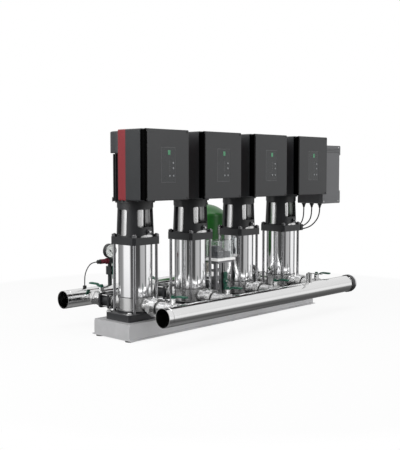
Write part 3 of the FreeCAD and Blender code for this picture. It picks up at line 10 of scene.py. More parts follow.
import bmesh
import bpy
from bpy.props import FloatProperty, FloatVectorProperty, PointerProperty
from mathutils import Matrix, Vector


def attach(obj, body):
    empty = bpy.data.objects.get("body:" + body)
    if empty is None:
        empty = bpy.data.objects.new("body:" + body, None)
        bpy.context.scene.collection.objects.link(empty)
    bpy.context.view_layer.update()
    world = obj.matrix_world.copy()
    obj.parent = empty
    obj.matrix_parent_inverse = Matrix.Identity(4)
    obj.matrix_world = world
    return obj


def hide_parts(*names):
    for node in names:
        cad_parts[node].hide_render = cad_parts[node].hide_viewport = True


bl_info = {
    "name": "Booster pump set",
    "version": (1, 0, 0),
    "blender": (4, 5, 0),
    "location": "3D View > Sidebar > Pump set",
    "description": "Finishes and detailed pieces for a four-pump booster set on a base frame",
    "category": "Add Mesh",
}

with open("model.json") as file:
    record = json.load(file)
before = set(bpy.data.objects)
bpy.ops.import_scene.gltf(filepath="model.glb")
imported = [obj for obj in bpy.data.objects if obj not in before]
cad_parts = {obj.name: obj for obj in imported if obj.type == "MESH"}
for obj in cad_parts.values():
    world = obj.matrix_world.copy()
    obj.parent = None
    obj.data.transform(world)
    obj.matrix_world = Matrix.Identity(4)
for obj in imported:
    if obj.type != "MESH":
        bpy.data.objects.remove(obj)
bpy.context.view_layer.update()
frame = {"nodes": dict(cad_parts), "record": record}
NODES = frame["nodes"]
RECORD = frame["record"]

MM = 0.001
ROW_SHIFT = Vector((-0.065, -0.0155, 0.0))
UP = (0, 0, 1)
TO_FRONT = (0, -1, 0)
TO_BACK = (0, 1, 0)

# Places of the drawing, in millimetres
PUMP_PITCH = 320.0
PUMP_XS = (-480.0, -160.0, 160.0, 480.0)
PORT_Z = 123.0
MANIFOLD_Y = 300.0
MANIFOLD_RADIUS = 38.05
STUB_RADIUS = 24.3
CLAMP_Y = -124.0
VALVE_BOLT_ENDS = (121.5, 190.5)
LEVER_Y = 215.0
LEVER_LEVELS = (180.0, 184.0)
LID_FACE = -187.6
SEAM_Z = 159.4
ANCHOR_PLACE = (88.0, 61.0, 98.9)
VENT_PLACE = (-90.2, 422.0)
STOOL_FOOT = 400.4
STOOL_RADIUS = 75.5
STOOL_TAPER = 0.0403
MOTOR_PLUG_Z = 549.0
MOTOR_PLUG_AIM = (-0.682, 0.731, 0)
MOTOR_RADIUS = 84.0
GAUGE_X, GAUGE_BACK, GAUGE_Z = -362.0, 309.0, 311.05
GAUGE_SWEEP = 270.0
GAUGE_START = 225.0
HOOD_TOP = 355.0
COCK_X, COCK_Z = 15.0, 172.0
TANK_VALVE = (261.0, 300.0)
CABINET_FACE = -165.6

# Camera, fitted to the photo
CAMERA_PLACE = (-2593.8, -2351.3, 667.4)
CAMERA_YAW = 43.307
CAMERA_PITCH = 4.03
CAMERA_LENS = 62.69
SENSOR = 36.0

# Edges sharper than this many degrees are broken; on a round bar that leaves the long edges alone
ROUND_SHARPNESS = 62.0
FLAT_SHARPNESS = 25.0
ROUND_FROM_VERTICES = 17

# Studio: light on dull surfaces, and what metal and gloss reflect, by bearing in degrees and by height
WORLD_LEVEL = 0.36
FLOOR_GLOW = 0.9
FLOOR_FADE = 0.7
BAND_EDGE = 0.12
BAND_FADE = 6.0
LAMP_AIM = (0, 0, 350)
LAMPS = (("lamp_left", (-3400, 900, 2100), (2.2, 2.2), 74.0),
         ("lamp_top", (-200, -900, 3200), (3.5, 2.0), 46.0),
         ("lamp_front", (1300, -3600, 1700), (1.4, 2.2), 26.0))
STUDIO_GAIN = 1.2
STUDIO_WALLS = ((0, 0.25), (60, 0.29), (118, 0.25), (136, 0.38), (146, 0.95), (188, 1.0), (198, 0.06),
                (256, 0.05), (264, 0.45), (292, 0.5), (298, 0.12), (303, 0.16), (309, 0.95), (344, 0.9),
                (354, 0.22))
STUDIO_HEIGHTS = ((0.0, 0.45), (0.12, 0.22), (0.2, 0.08), (0.36, 0.18), (0.45, 0.3), (0.56, 0.55),
                  (0.66, 0.85), (0.86, 0.85), (1.0, 0.6))

# Where one node's pieces change finish, in metres of the model
# Near-black strip of painted shade on each drive lid's side face, where it lies in shade
LID_PAINTED_SHADE = (-0.664, 0.0125, (0.001, 0.001, 0.001))
HEAD_LEVEL = 0.3
CAP_RING_X = 0.5595
SENSOR_X = -0.483
MODULE_LEVEL = 0.2785

# Cables: control points, as in the part's source, and lengths and diameters in metres
SIGNAL_ROUTE = ((-438, 300, 267.05), (-464, 300, 267.05), (-486, 301, 247), (-499, 302, 220),
                (-503, 300, 194), (-503, 300, 171.05))
SIGNAL_LENGTH = 0.1334
SIGNAL_DIAMETER = 0.0045
POWER_ROUTES = (
    ((640, -23, 480), (640, -23, 446), (631, -22, 412), (604, -20, 386), (568, -20, 386)),
    ((640, -71, 480), (640, -71, 444), (631, -63, 410), (605, -40, 384), (568, -40, 384)),
    ((640, -119, 480), (640, -119, 442), (628, -90, 396), (608, -60, 376), (568, -60, 376)),
)
POWER_LENGTHS = (0.1402, 0.1488, 0.1697)
POWER_DIAMETER = 0.006


def at(x, y, z):
    """A place of the drawing, in metres in the model's frame."""
    return Vector((x, y, z)) * MM + ROW_SHIFT


class PumpSetColours(bpy.types.PropertyGroup):
    """Colours that a user would change."""
    casting: FloatVectorProperty(name="Castings", description="Paint of feet, heads and motor stools",
                                 subtype="COLOR", size=3, min=0, max=1, default=(0.016, 0.017, 0.019))
    motor: FloatVectorProperty(name="Motors", description="Paint of the finned motor barrels",
                               subtype="COLOR", size=3, min=0, max=1, default=(0.014, 0.015, 0.016))
    cowl: FloatVectorProperty(name="Fan cowls", description="Moulded fan cowls",
                              subtype="COLOR", size=3, min=0, max=1, default=(0.03, 0.031, 0.034))
    case: FloatVectorProperty(name="Drive cases", description="Painted drive cases",
                              subtype="COLOR", size=3, min=0, max=1, default=(0.018, 0.02, 0.022))
    lid: FloatVectorProperty(name="Drive lids", description="Moulded drive lids",
                             subtype="COLOR", size=3, min=0, max=1, default=(0.023, 0.024, 0.026))
    band: FloatVectorProperty(name="Drive bands", description="Coloured band behind each drive case",
                              subtype="COLOR", size=3, min=0, max=1, default=(0.21, 0.014, 0.02))
    lever: FloatVectorProperty(name="Levers", description="Levers and cock handles",
                               subtype="COLOR", size=3, min=0, max=1, default=(0.002, 0.08, 0.046))
    tank: FloatVectorProperty(name="Tank", description="Paint of the diaphragm tank",
                              subtype="COLOR", size=3, min=0, max=1, default=(0.014, 0.13, 0.016))
    cabinet: FloatVectorProperty(name="Cabinet", description="Moulded control cabinet",
                                 subtype="COLOR", size=3, min=0, max=1, default=(0.13, 0.132, 0.138))
    display: FloatVectorProperty(name="Displays", description="Backlit displays on the operating panels",
                                 subtype="COLOR", size=3, min=0, max=1, default=(0.06, 0.24, 0.12))


class PumpSetSizes(bpy.types.PropertyGroup):
    """Sizes that a user would change."""
    weld: FloatProperty(name="Weld bead", description="Radius of the weld beads at the branch stubs",
                        unit="LENGTH", min=0.0005, max=0.005, default=0.0022)
    sleeve: FloatProperty(name="Lever sleeve", description="Wall of the plastic sleeves on the levers",
                          unit="LENGTH", min=0.0005, max=0.004, default=0.0016)


# Ways to make and finish a piece
def deselect():
    if bpy.context.object and bpy.context.object.mode != "OBJECT":
        bpy.ops.object.mode_set(mode="OBJECT")
    bpy.ops.object.select_all(action="DESELECT")


def pick(*objs):
    deselect()
    for obj in objs:
        obj.select_set(True)
    bpy.context.view_layer.objects.active = objs[0]


def put_down(obj, name, material, body, angle=35.0):
    """Names a finished piece, applies its place, gives its finish and lets it ride on a body."""
    pick(obj)
    obj.name = obj.data.name = name
    bpy.ops.object.transform_apply(location=True, rotation=True, scale=True)
    obj.data.materials.clear()
    obj.data.materials.append(material)
    if angle:
        bpy.ops.object.shade_smooth_by_angle(angle=math.radians(angle))
    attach(obj, body)


def bar(place, radius, length, direction, sides=24, bevel=0.4):
    """A round or many-sided bar in millimetres with its end edges broken; place is its middle."""
    deselect()
    turn = Vector(direction).to_track_quat("Z", "Y").to_euler()
    bpy.ops.mesh.primitive_cylinder_add(vertices=sides, radius=radius * MM, depth=length * MM,
                                        location=at(*place), rotation=turn)
    break_edges(bpy.context.object, bevel)
    return bpy.context.object


def block(low, high, bevel=1.0, segments=2):
    """A block between two corners in millimetres with all its edges broken."""
    deselect()
    low, high = at(*low), at(*high)
    bpy.ops.mesh.primitive_cube_add(size=1.0, location=(low + high) / 2)
    obj = bpy.context.object
    obj.scale = high - low
    bpy.ops.object.transform_apply(location=False, rotation=False, scale=True)
    break_edges(obj, bevel, segments)
    return obj


def break_edges(obj, bevel, segments=2):
    """Bevels a piece's sharp edges by a width in millimetres."""
    sharpness = ROUND_SHARPNESS if len(obj.data.vertices) >= ROUND_FROM_VERTICES else FLAT_SHARPNESS
    bpy.ops.object.mode_set(mode="EDIT")
    bpy.ops.mesh.select_mode(type="EDGE")
    bpy.ops.mesh.select_all(action="DESELECT")
    bpy.ops.mesh.edges_select_sharp(sharpness=math.radians(sharpness))
    bpy.ops.mesh.bevel(offset=bevel * MM, segments=segments, affect="EDGES")
    bpy.ops.object.mode_set(mode="OBJECT")


def add_modifier(obj, kind, **values):
    """Adds a modifier with its values and applies it."""
    pick(obj)
    modifier = obj.modifiers.new(kind, kind)
    for label, value in values.items():
        setattr(modifier, label, value)
    bpy.ops.object.modifier_apply(modifier=modifier.name)
    return obj


def ring(place, radius, wall, length, direction, sides=64, bevel=0.4):
    """A closed ring in millimetres with broken edges; radius is its outside."""
    deselect()
    turn = Vector(direction).to_track_quat("Z", "Y").to_euler()
    bpy.ops.mesh.primitive_cylinder_add(vertices=sides, radius=radius * MM, depth=length * MM,
                                        end_fill_type="NOTHING", location=at(*place), rotation=turn)
    obj = add_modifier(bpy.context.object, "SOLIDIFY", thickness=wall * MM, offset=-1.0)
    return add_modifier(obj, "BEVEL", width=bevel * MM, segments=2, limit_method="ANGLE",
                        angle_limit=math.radians(50))


def sink(obj, direction, inset, depth):
    """Insets the face that looks along a direction and pushes it in, as a screw's socket."""
    pick(obj)
    turned = obj.matrix_world.to_3x3()
    bpy.ops.object.mode_set(mode="EDIT")
    mesh = bmesh.from_edit_mesh(obj.data)
    for face in mesh.faces:
        face.select_set((turned @ face.normal).normalized().dot(Vector(direction)) > 0.99)
    mesh.select_flush_mode()
    bmesh.update_edit_mesh(obj.data)
    bpy.ops.mesh.inset(thickness=inset * MM, depth=0.0)
    bpy.ops.mesh.inset(thickness=0.2 * MM, depth=-depth * MM)
    bpy.ops.object.mode_set(mode="OBJECT")
    return obj


def copy_of(obj, x):
    """A copy with its own mesh, shifted along the row by millimetres."""
    twin = obj.copy()
    twin.data = obj.data.copy()
    bpy.context.scene.collection.objects.link(twin)
    twin.location = obj.location + Vector((x, 0, 0)) * MM
    return twin


def as_one(objs):
    """Joins pieces of one finish on one body."""
    pick(*objs)
    bpy.ops.object.transform_apply(location=True, rotation=True, scale=True)
    if len(objs) > 1:
        bpy.ops.object.join()
    return bpy.context.object


def at_each_pump(objs, name, finish_name, angle=35.0):
    """Repeats pieces of the first pump at the other three as one piece on the frame."""
    copies = [copy_of(obj, x - PUMP_XS[0]) for x in PUMP_XS[1:] for obj in objs]
    put_down(as_one(list(objs) + copies), name, FINISHES[finish_name], "frame", angle)


# Shader node groups
def new_group(name, inputs, outputs):
    tree = bpy.data.node_groups.new(name, "ShaderNodeTree")
    for label, kind, default in inputs:
        socket = tree.interface.new_socket(label, in_out="INPUT", socket_type=kind)
        if default is not None:
            socket.default_value = default
    for label, kind in outputs:
        tree.interface.new_socket(label, in_out="OUTPUT", socket_type=kind)
    return tree, tree.nodes.new("NodeGroupInput"), tree.nodes.new("NodeGroupOutput")


def math_node(tree, operation, first, second=0.0):
    node = tree.nodes.new("ShaderNodeMath")
    node.operation = operation
    for socket, value in zip(node.inputs, (first, second)):
        if isinstance(value, (int, float)):
            socket.default_value = value
        else:
            tree.links.new(value, socket)
    return node.outputs[0]


def noise_node(tree, vector, scale, detail):
    node = tree.nodes.new("ShaderNodeTexNoise")
    node.inputs["Detail"].default_value = detail
    tree.links.new(vector, node.inputs["Vector"])
    if isinstance(scale, (int, float)):
        node.inputs["Scale"].default_value = scale
    else:
        tree.links.new(scale, node.inputs["Scale"])
    return node.outputs["Fac"]


def axes_of(tree, vector):
    """The three numbers of a vector."""
    split = tree.nodes.new("ShaderNodeSeparateXYZ")
    tree.links.new(vector, split.inputs[0])
    return split.outputs


def blend_node(tree, factor, first, second):
    """A colour socket blended towards a plain colour."""
    mix = tree.nodes.new("ShaderNodeMix")
    mix.data_type = "RGBA"
    mix.inputs["B"].default_value = (*second, 1)
    tree.links.new(factor, mix.inputs["Factor"])
    tree.links.new(first, mix.inputs["A"])
    return mix.outputs["Result"]


def seen_rays(tree, light):
    """1 for rays from the camera or through glass, which see the plain background."""
    return math_node(tree, "MAXIMUM", light.outputs["Is Camera Ray"], light.outputs["Is Transmission Ray"])


def surface_group():
    """Cloudy tone and roughness with a fine grain; Stretch draws the pattern out along an axis."""
    tree, start, end = new_group("Surface grain", [
        ("Vector", "NodeSocketVector", None), ("Stretch", "NodeSocketVector", (1, 1, 1)),
        ("Colour", "NodeSocketColor", (0.5, 0.5, 0.5, 1)), ("Tone", "NodeSocketFloat", 0.1),
        ("Roughness", "NodeSocketFloat", 0.4), ("Spread", "NodeSocketFloat", 0.05),
        ("Cloud Scale", "NodeSocketFloat", 12.0), ("Grain Scale", "NodeSocketFloat", 900.0)],
        [("Colour", "NodeSocketColor"), ("Roughness", "NodeSocketFloat"), ("Height", "NodeSocketFloat")])
    scale = tree.nodes.new("ShaderNodeVectorMath")
    scale.operation = "MULTIPLY"
    tree.links.new(start.outputs["Vector"], scale.inputs[0])
    tree.links.new(start.outputs["Stretch"], scale.inputs[1])
    cloud = noise_node(tree, scale.outputs[0], start.outputs["Cloud Scale"], 4.0)
    grain = noise_node(tree, scale.outputs[0], start.outputs["Grain Scale"], 2.0)
    both = math_node(tree, "ADD", math_node(tree, "SUBTRACT", cloud, 0.5),
                     math_node(tree, "MULTIPLY", math_node(tree, "SUBTRACT", grain, 0.5), 0.6))
    swing = math_node(tree, "MULTIPLY", both, 2.0)
    factor = math_node(tree, "ADD", math_node(tree, "MULTIPLY", swing, start.outputs["Tone"]), 1.0)
    tint = tree.nodes.new("ShaderNodeVectorMath")
    tint.operation = "SCALE"
    tree.links.new(start.outputs["Colour"], tint.inputs[0])
    tree.links.new(factor, tint.inputs["Scale"])
    rough = math_node(tree, "ADD", math_node(tree, "MULTIPLY", swing, start.outputs["Spread"]),
                      start.outputs["Roughness"])
    tree.links.new(tint.outputs[0], end.inputs["Colour"])
    tree.links.new(rough, end.inputs["Roughness"])
    tree.links.new(grain, end.inputs["Height"])
    return tree


def dust_group():
    """Pale dust that has settled on what faces up, broken by noise."""
    tree, start, end = new_group("Settled dust", [
        ("Vector", "NodeSocketVector", None), ("Colour", "NodeSocketColor", (0.5, 0.5, 0.5, 1)),
        ("Roughness", "NodeSocketFloat", 0.4), ("Amount", "NodeSocketFloat", 0.1)],
        [("Colour", "NodeSocketColor"), ("Roughness", "NodeSocketFloat")])
    normal = axes_of(tree, tree.nodes.new("ShaderNodeNewGeometry").outputs["Normal"])
    facing = math_node(tree, "MAXIMUM", math_node(tree, "SUBTRACT", normal["Z"], 0.55), 0.0)
    cloud = noise_node(tree, start.outputs["Vector"], 60.0, 5.0)
    mask = math_node(tree, "MULTIPLY", math_node(tree, "MULTIPLY", facing, cloud), start.outputs["Amount"])
    tree.links.new(blend_node(tree, mask, start.outputs["Colour"], DUST_COLOUR), end.inputs["Colour"])
    duller = math_node(tree, "MULTIPLY", mask, 0.6)
    tree.links.new(math_node(tree, "ADD", start.outputs["Roughness"], duller), end.inputs["Roughness"])
    return tree


DUST_COLOUR = (0.42, 0.41, 0.39)
COAT_ROUGHNESS = 0.12
GROUPS = {}
FINISHES = {}


def finish(name, colour, roughness, metallic=0.0, tone=0.08, spread=0.04, cloud=12.0, grain=900.0,
           depth=0.00002, stretch=(1, 1, 1), dust=0.0, coat=0.0, transmission=0.0, ior=1.5, emission=0.0,
           beyond=None, painted_shade_strip=None):
    """One finish: cloudy tone, grain and dust groups around a plain shader.

    beyond is (axis, limit in metres, colour, metallic) for a node whose pieces past that place differ.
    The last argument is (start, width, colour), in metres, of an upright strip of painted shade that repeats
    at every
    pump: a near-black band where each lid's side face lies in shade. It counts as metal, so that so dark a
    colour reflects next to nothing.
    """
    material = bpy.data.materials.new(name)
    material.use_nodes = True
    tree = material.node_tree
    shader = tree.nodes["Principled BSDF"]
    place = tree.nodes.new("ShaderNodeTexCoord").outputs["Object"]
    grainy = tree.nodes.new("ShaderNodeGroup")
    grainy.node_tree = GROUPS["grain"]
    tree.links.new(place, grainy.inputs["Vector"])
    for label, value in (("Stretch", stretch), ("Colour", (*colour, 1)), ("Tone", tone),
                         ("Roughness", roughness), ("Spread", spread), ("Cloud Scale", cloud),
                         ("Grain Scale", grain)):
        grainy.inputs[label].default_value = value
    colour_out, rough_out = grainy.outputs["Colour"], grainy.outputs["Roughness"]
    if dust:
        dusty = tree.nodes.new("ShaderNodeGroup")
        dusty.node_tree = GROUPS["dust"]
        dusty.inputs["Amount"].default_value = dust
        tree.links.new(place, dusty.inputs["Vector"])
        tree.links.new(colour_out, dusty.inputs["Colour"])
        tree.links.new(rough_out, dusty.inputs["Roughness"])
        colour_out, rough_out = dusty.outputs["Colour"], dusty.outputs["Roughness"]
    if beyond:
        axis, limit, other, other_metallic = beyond
        past = math_node(tree, "GREATER_THAN", axes_of(tree, place)[axis], limit)
        colour_out = blend_node(tree, past, colour_out, other)
        metal = math_node(tree, "ADD", math_node(tree, "MULTIPLY", past, other_metallic - metallic), metallic)
        tree.links.new(metal, shader.inputs["Metallic"])
    # Painted shade: a near-black upright strip at every pump, made metal so that it reflects next to nothing
    if painted_shade_strip:
        start, width, other = painted_shade_strip
        pitch = PUMP_PITCH * MM
        along = math_node(tree, "ADD", axes_of(tree, place)["X"], 10 * pitch - start)
        step = math_node(tree, "FRACT", math_node(tree, "DIVIDE", along, pitch))
        inside = math_node(tree, "LESS_THAN", step, width / pitch)
        colour_out = blend_node(tree, inside, colour_out, other)
        tree.links.new(inside, shader.inputs["Metallic"])
    tree.links.new(colour_out, shader.inputs["Base Color"])
    tree.links.new(rough_out, shader.inputs["Roughness"])
    bump = tree.nodes.new("ShaderNodeBump")
    bump.inputs["Strength"].default_value = 1.0
    bump.inputs["Distance"].default_value = depth
    tree.links.new(grainy.outputs["Height"], bump.inputs["Height"])
    tree.links.new(bump.outputs["Normal"], shader.inputs["Normal"])
    if not beyond and not painted_shade_strip:
        shader.inputs["Metallic"].default_value = metallic
    shader.inputs["Coat Weight"].default_value = coat
    shader.inputs["Coat Roughness"].default_value = COAT_ROUGHNESS
    shader.inputs["Transmission Weight"].default_value = transmission
    shader.inputs["IOR"].default_value = ior
    # Glow from the finish's own colour: real on the backlit displays, painted light on the switch tray and
    # the gauge dial
    if emission:
        tree.links.new(colour_out, shader.inputs["Emission Color"])
        shader.inputs["Emission Strength"].default_value = emission
    FINISHES[name] = material


class PUMPSET_OT_finishes(bpy.types.Operator):
    """Make every finish and give it to the solids of its material slot"""
    bl_idname = "pumpset.finishes"
    bl_label = "Finishes"

    def execute(self, context):
        tint = context.scene.pump_set_colours
        GROUPS["grain"] = surface_group()
        GROUPS["dust"] = dust_group()
        finish("base_sheet", (0.62, 0.62, 0.63), 0.42, metallic=0.6, tone=0.1, spread=0.06, cloud=6,
               grain=420, depth=0.000012, stretch=(0.3, 6, 6), dust=0.1)
        finish("foot_rubber", (0.018, 0.018, 0.018), 0.7, depth=0.00005)
        finish("black_casting", tint.casting, 0.38, cloud=30, grain=700, depth=0.00007, spread=0.08,
               dust=0.12)
        finish("stainless", (0.66, 0.66, 0.66), 0.24, metallic=1, tone=0.05, spread=0.05, cloud=20, grain=500,
               depth=0.000008)
        finish("polished_sleeve", (0.78, 0.78, 0.79), 0.09, metallic=1, tone=0.03, spread=0.02, cloud=8,
               grain=300, depth=0.000003, stretch=(4, 4, 0.3))
        finish("bolt_steel", (0.6, 0.6, 0.6), 0.25, metallic=1, tone=0.08, cloud=40, grain=900, depth=0.00001)
        finish("motor_paint", tint.motor, 0.4, cloud=25, grain=800, depth=0.00005, dust=0.1)
        finish("cowl_plastic", tint.cowl, 0.45, cloud=20, grain=1300, depth=0.00004, dust=0.1)
        finish("red_band", tint.band, 0.35, cloud=18, grain=1200, depth=0.00002)
        finish("case_paint", tint.case, 0.38, cloud=22, grain=1100, depth=0.00003, dust=0.1)
        # The lids carry the strip of painted shade on their side faces
        finish("lid_plastic", tint.lid, 0.42, cloud=16, grain=1300, depth=0.00004, dust=0.1,
               painted_shade_strip=LID_PAINTED_SHADE)
        finish("panel_foil", (0.02, 0.022, 0.024), 0.28, tone=0.05, depth=0.00001)
        finish("manifold_steel", (0.7, 0.7, 0.7), 0.14, metallic=1, tone=0.05, spread=0.05, cloud=10,
               grain=600, depth=0.000006, stretch=(0.25, 5, 5))
        finish("cap_metal", (0.6, 0.6, 0.61), 0.33, metallic=0.9, depth=0.00002)
        finish("tank_paint", tint.tank, 0.34, cloud=9, grain=500, depth=0.00003, coat=0.1)
        finish("brass_fitting", (0.5, 0.47, 0.42), 0.26, metallic=1, tone=0.08, depth=0.00001)
        finish("gauge_black", (0.015, 0.015, 0.016), 0.35, depth=0.00002)
        finish("cable_rubber", (0.004, 0.004, 0.0045), 0.6, grain=1500, depth=0.00003)
        finish("tray_plastic", (0.72, 0.72, 0.7), 0.4, grain=1500, depth=0.00002)
        finish("cabinet_grey", tint.cabinet, 0.45, cloud=14, grain=1300, depth=0.00004)
        finish("black_plastic", (0.015, 0.015, 0.016), 0.42, grain=1400, depth=0.00003)
        finish("lever_green", tint.lever, 0.32, cloud=30, depth=0.00002)
        finish("clear_hood", (0.93, 0.95, 0.95), 0.03, tone=0.01, spread=0.01, depth=0.000002, transmission=1,
               ior=1.45)
        finish("rotor_steel", (0.5, 0.5, 0.5), 0.3, metallic=1, depth=0.00001)
        finish("dark_fitting", (0.03, 0.036, 0.036), 0.33, metallic=0.3, cloud=60, depth=0.00003)
        finish("stay_steel", (0.4, 0.4, 0.41), 0.16, metallic=1, tone=0.05, cloud=20, grain=600,
               depth=0.000005)
        finish("strut_steel", (0.24, 0.24, 0.25), 0.38, metallic=0.85, tone=0.12, cloud=60, grain=700,
               depth=0.00002)
        finish("pump_fasteners", (0.6, 0.6, 0.6), 0.25, metallic=1, cloud=40, depth=0.00001,
               beyond=("Z", HEAD_LEVEL, (0.15, 0.15, 0.155), 0.9))
        finish("end_caps", (0.015, 0.015, 0.016), 0.32, cloud=20, depth=0.00002,
               beyond=("X", CAP_RING_X, (0.6, 0.6, 0.61), 0.9))
        finish("sensor", (0.015, 0.015, 0.016), 0.35, depth=0.00001,
               beyond=("X", SENSOR_X, (0.16, 0.02, 0.035), 0.5))
        # The white tray glows: painted light that keeps its rim bright in the hood's shade; the dark modules
        # glow next to nothing
        finish("switch_modules", (0.8, 0.8, 0.79), 0.4, grain=1500, depth=0.00002, emission=0.4,
               beyond=("Z", MODULE_LEVEL, (0.045, 0.047, 0.052), 0.0))
        # The dial glows a little: painted light that makes up for the shade the gauge glass casts on it
        finish("dial_white", (0.82, 0.82, 0.8), 0.4, tone=0.02, depth=0.000002, emission=0.45)
        finish("key_grey", (0.26, 0.27, 0.28), 0.45, tone=0.03, depth=0.000002)
        finish("panel_print", (0.1, 0.102, 0.105), 0.45, tone=0.03, depth=0.000002)
        finish("print_black", (0.02, 0.02, 0.02), 0.45, tone=0.03, depth=0.000002)
        finish("display_green", tint.display, 0.2, tone=0.05, depth=0.000002, emission=0.15)
        finish("weld_steel", (0.5, 0.49, 0.47), 0.34, metallic=1, tone=0.2, cloud=300, grain=900,
               depth=0.00006)
        slots = {part["node"]: part["material_slot"] for part in RECORD["subparts"]}
        own = {"fasteners": "pump_fasteners", "manifold_caps": "end_caps", "pressure_transmitter": "sensor",
               "switch_box": "switch_modules", "staybolts": "stay_steel", "strut_post": "strut_steel"}
        for name, node in NODES.items():
            material = FINISHES[own.get(name, slots[name])]
            if not node.material_slots:
                node.data.materials.append(material)
            for slot in node.material_slots:
                slot.material = material
        return {"FINISHED"}


class PUMPSET_OT_stage(bpy.types.Operator):
    """Camera, floor, soft lamps and a pale world"""
    bl_idname = "pumpset.stage"
    bl_label = "Stage"

    def execute(self, context):
        scene = context.scene
        scene.view_settings.view_transform = "Standard"
        yaw, pitch = math.radians(CAMERA_YAW), math.radians(CAMERA_PITCH)
        looking = Vector((math.cos(pitch) * math.cos(yaw), math.cos(pitch) * math.sin(yaw), -math.sin(pitch)))
        camera_data = bpy.data.cameras.new("camera")
        camera_data.sensor_fit = "VERTICAL"
        camera_data.sensor_height = SENSOR
        camera_data.lens = CAMERA_LENS
        camera = bpy.data.objects.new("camera", camera_data)
        camera.location = at(*CAMERA_PLACE)
        camera.rotation_euler = looking.to_track_quat("-Z", "Y").to_euler()
        scene.collection.objects.link(camera)
        scene.camera = camera
        self.floor()
        self.world(scene)
        for name, place, size, watts in LAMPS:
            data = bpy.data.lights.new(name, "AREA")
            data.shape = "RECTANGLE"
            data.size, data.size_y = size
            data.energy = watts
            lamp = bpy.data.objects.new(name, data)
            lamp.location = at(*place)
            aim = at(*LAMP_AIM) - lamp.location
            lamp.rotation_euler = aim.to_track_quat("-Z", "Y").to_euler()
            scene.collection.objects.link(lamp)
        return {"FINISHED"}

    def floor(self):
        """Pale floor that fades to white, shining in part for the camera alone, so that it keeps a shadow.

        Reflections don't see it. They see the studio's lower half instead.
        """
        deselect()
        bpy.ops.mesh.primitive_plane_add(size=14.0, location=(0, 0, 0))
        floor = bpy.context.object
        floor.name = "floor"
        bpy.ops.object.mode_set(mode="EDIT")
        bpy.ops.mesh.subdivide(number_cuts=3)
        bpy.ops.object.mode_set(mode="OBJECT")
        material = bpy.data.materials.new("floor")
        material.use_nodes = True
        tree = material.node_tree
        shader = tree.nodes["Principled BSDF"]
        shader.inputs["Base Color"].default_value = (0.86, 0.86, 0.86, 1)
        shader.inputs["Roughness"].default_value = 0.9
        shader.inputs["Specular IOR Level"].default_value = 0.0
        glow = tree.nodes.new("ShaderNodeEmission")
        glow.inputs["Color"].default_value = (1, 1, 1, 1)
        mix = tree.nodes.new("ShaderNodeMixShader")
        light = tree.nodes.new("ShaderNodeLightPath")
        seen = seen_rays(tree, light)
        away = tree.nodes.new("ShaderNodeVectorMath")
        away.operation = "LENGTH"
        tree.links.new(tree.nodes.new("ShaderNodeTexCoord").outputs["Object"], away.inputs[0])
        fade = math_node(tree, "SUBTRACT", away.outputs["Value"], FLOOR_FADE)
        fade = math_node(tree, "MINIMUM", math_node(tree, "MAXIMUM", fade, FLOOR_GLOW), 1.0)
        tree.links.new(math_node(tree, "MULTIPLY", seen, fade), mix.inputs[0])
        tree.links.new(shader.outputs[0], mix.inputs[1])
        tree.links.new(glow.outputs[0], mix.inputs[2])
        clear = tree.nodes.new("ShaderNodeBsdfTransparent")
        unseen = tree.nodes.new("ShaderNodeMixShader")
        tree.links.new(light.outputs["Is Glossy Ray"], unseen.inputs[0])
        tree.links.new(mix.outputs[0], unseen.inputs[1])
        tree.links.new(clear.outputs[0], unseen.inputs[2])
        tree.links.new(unseen.outputs[0], tree.nodes["Material Output"].inputs["Surface"])
        floor.data.materials.append(material)

    def world(self, scene):
        """White for the camera, even for diffuse light, and upright light and dark walls for reflections."""
        world = bpy.data.worlds.new("world")
        scene.world = world
        world.use_nodes = True
        tree = world.node_tree
        background = tree.nodes["Background"]
        light = tree.nodes.new("ShaderNodeLightPath")
        bearing = axes_of(tree, tree.nodes.new("ShaderNodeTexCoord").outputs["Generated"])
        turn = math_node(tree, "ARCTAN2", bearing["Y"], bearing["X"])
        turn = math_node(tree, "ADD", math_node(tree, "DIVIDE", turn, 2 * math.pi), 1.0)
        turn = math_node(tree, "FRACT", turn)
        walls = tree.nodes.new("ShaderNodeValToRGB")
        self.fill_ramp(walls.color_ramp, STUDIO_WALLS, 360.0)
        tree.links.new(turn, walls.inputs[0])
        heights = tree.nodes.new("ShaderNodeValToRGB")
        rise = math_node(tree, "MULTIPLY", math_node(tree, "ADD", bearing["Z"], 1.0), 0.5)
        tree.links.new(rise, heights.inputs[0])
        self.fill_ramp(heights.color_ramp, STUDIO_HEIGHTS, 1.0)
        above = math_node(tree, "MULTIPLY", math_node(tree, "SUBTRACT", bearing["Z"], BAND_EDGE), BAND_FADE)
        below = math_node(tree, "MULTIPLY", math_node(tree, "SUBTRACT", -BAND_EDGE, bearing["Z"]), BAND_FADE)
        share = math_node(tree, "MAXIMUM", math_node(tree, "MAXIMUM", above, below), 0.0)
        share = math_node(tree, "MINIMUM", share, 1.0)
        apart = math_node(tree, "SUBTRACT", heights.outputs["Color"], walls.outputs["Color"])
        mirror = math_node(tree, "ADD", walls.outputs["Color"], math_node(tree, "MULTIPLY", apart, share))
        mirror = math_node(tree, "MULTIPLY", mirror, STUDIO_GAIN)
        seen = seen_rays(tree, light)
        walls_level = math_node(tree, "MULTIPLY", mirror, light.outputs["Is Glossy Ray"])
        other = math_node(tree, "MAXIMUM", seen, light.outputs["Is Glossy Ray"])
        plain = math_node(tree, "SUBTRACT", 1.0, other)
        level = math_node(tree, "ADD", math_node(tree, "MULTIPLY", plain, WORLD_LEVEL), walls_level)
        level = math_node(tree, "MAXIMUM", level, seen)
        background.inputs["Color"].default_value = (1, 1, 1, 1)
        tree.links.new(level, background.inputs["Strength"])

    def fill_ramp(self, ramp, stops, full):
        """Sets a ramp's stops, whose places count up to full."""
        ramp.elements.remove(ramp.elements[1])
        element = ramp.elements[0]
        for place, level in stops:
            element = element or ramp.elements.new(place / full)
            element.position = place / full
            element.color = (level, level, level, 1)
            element = None


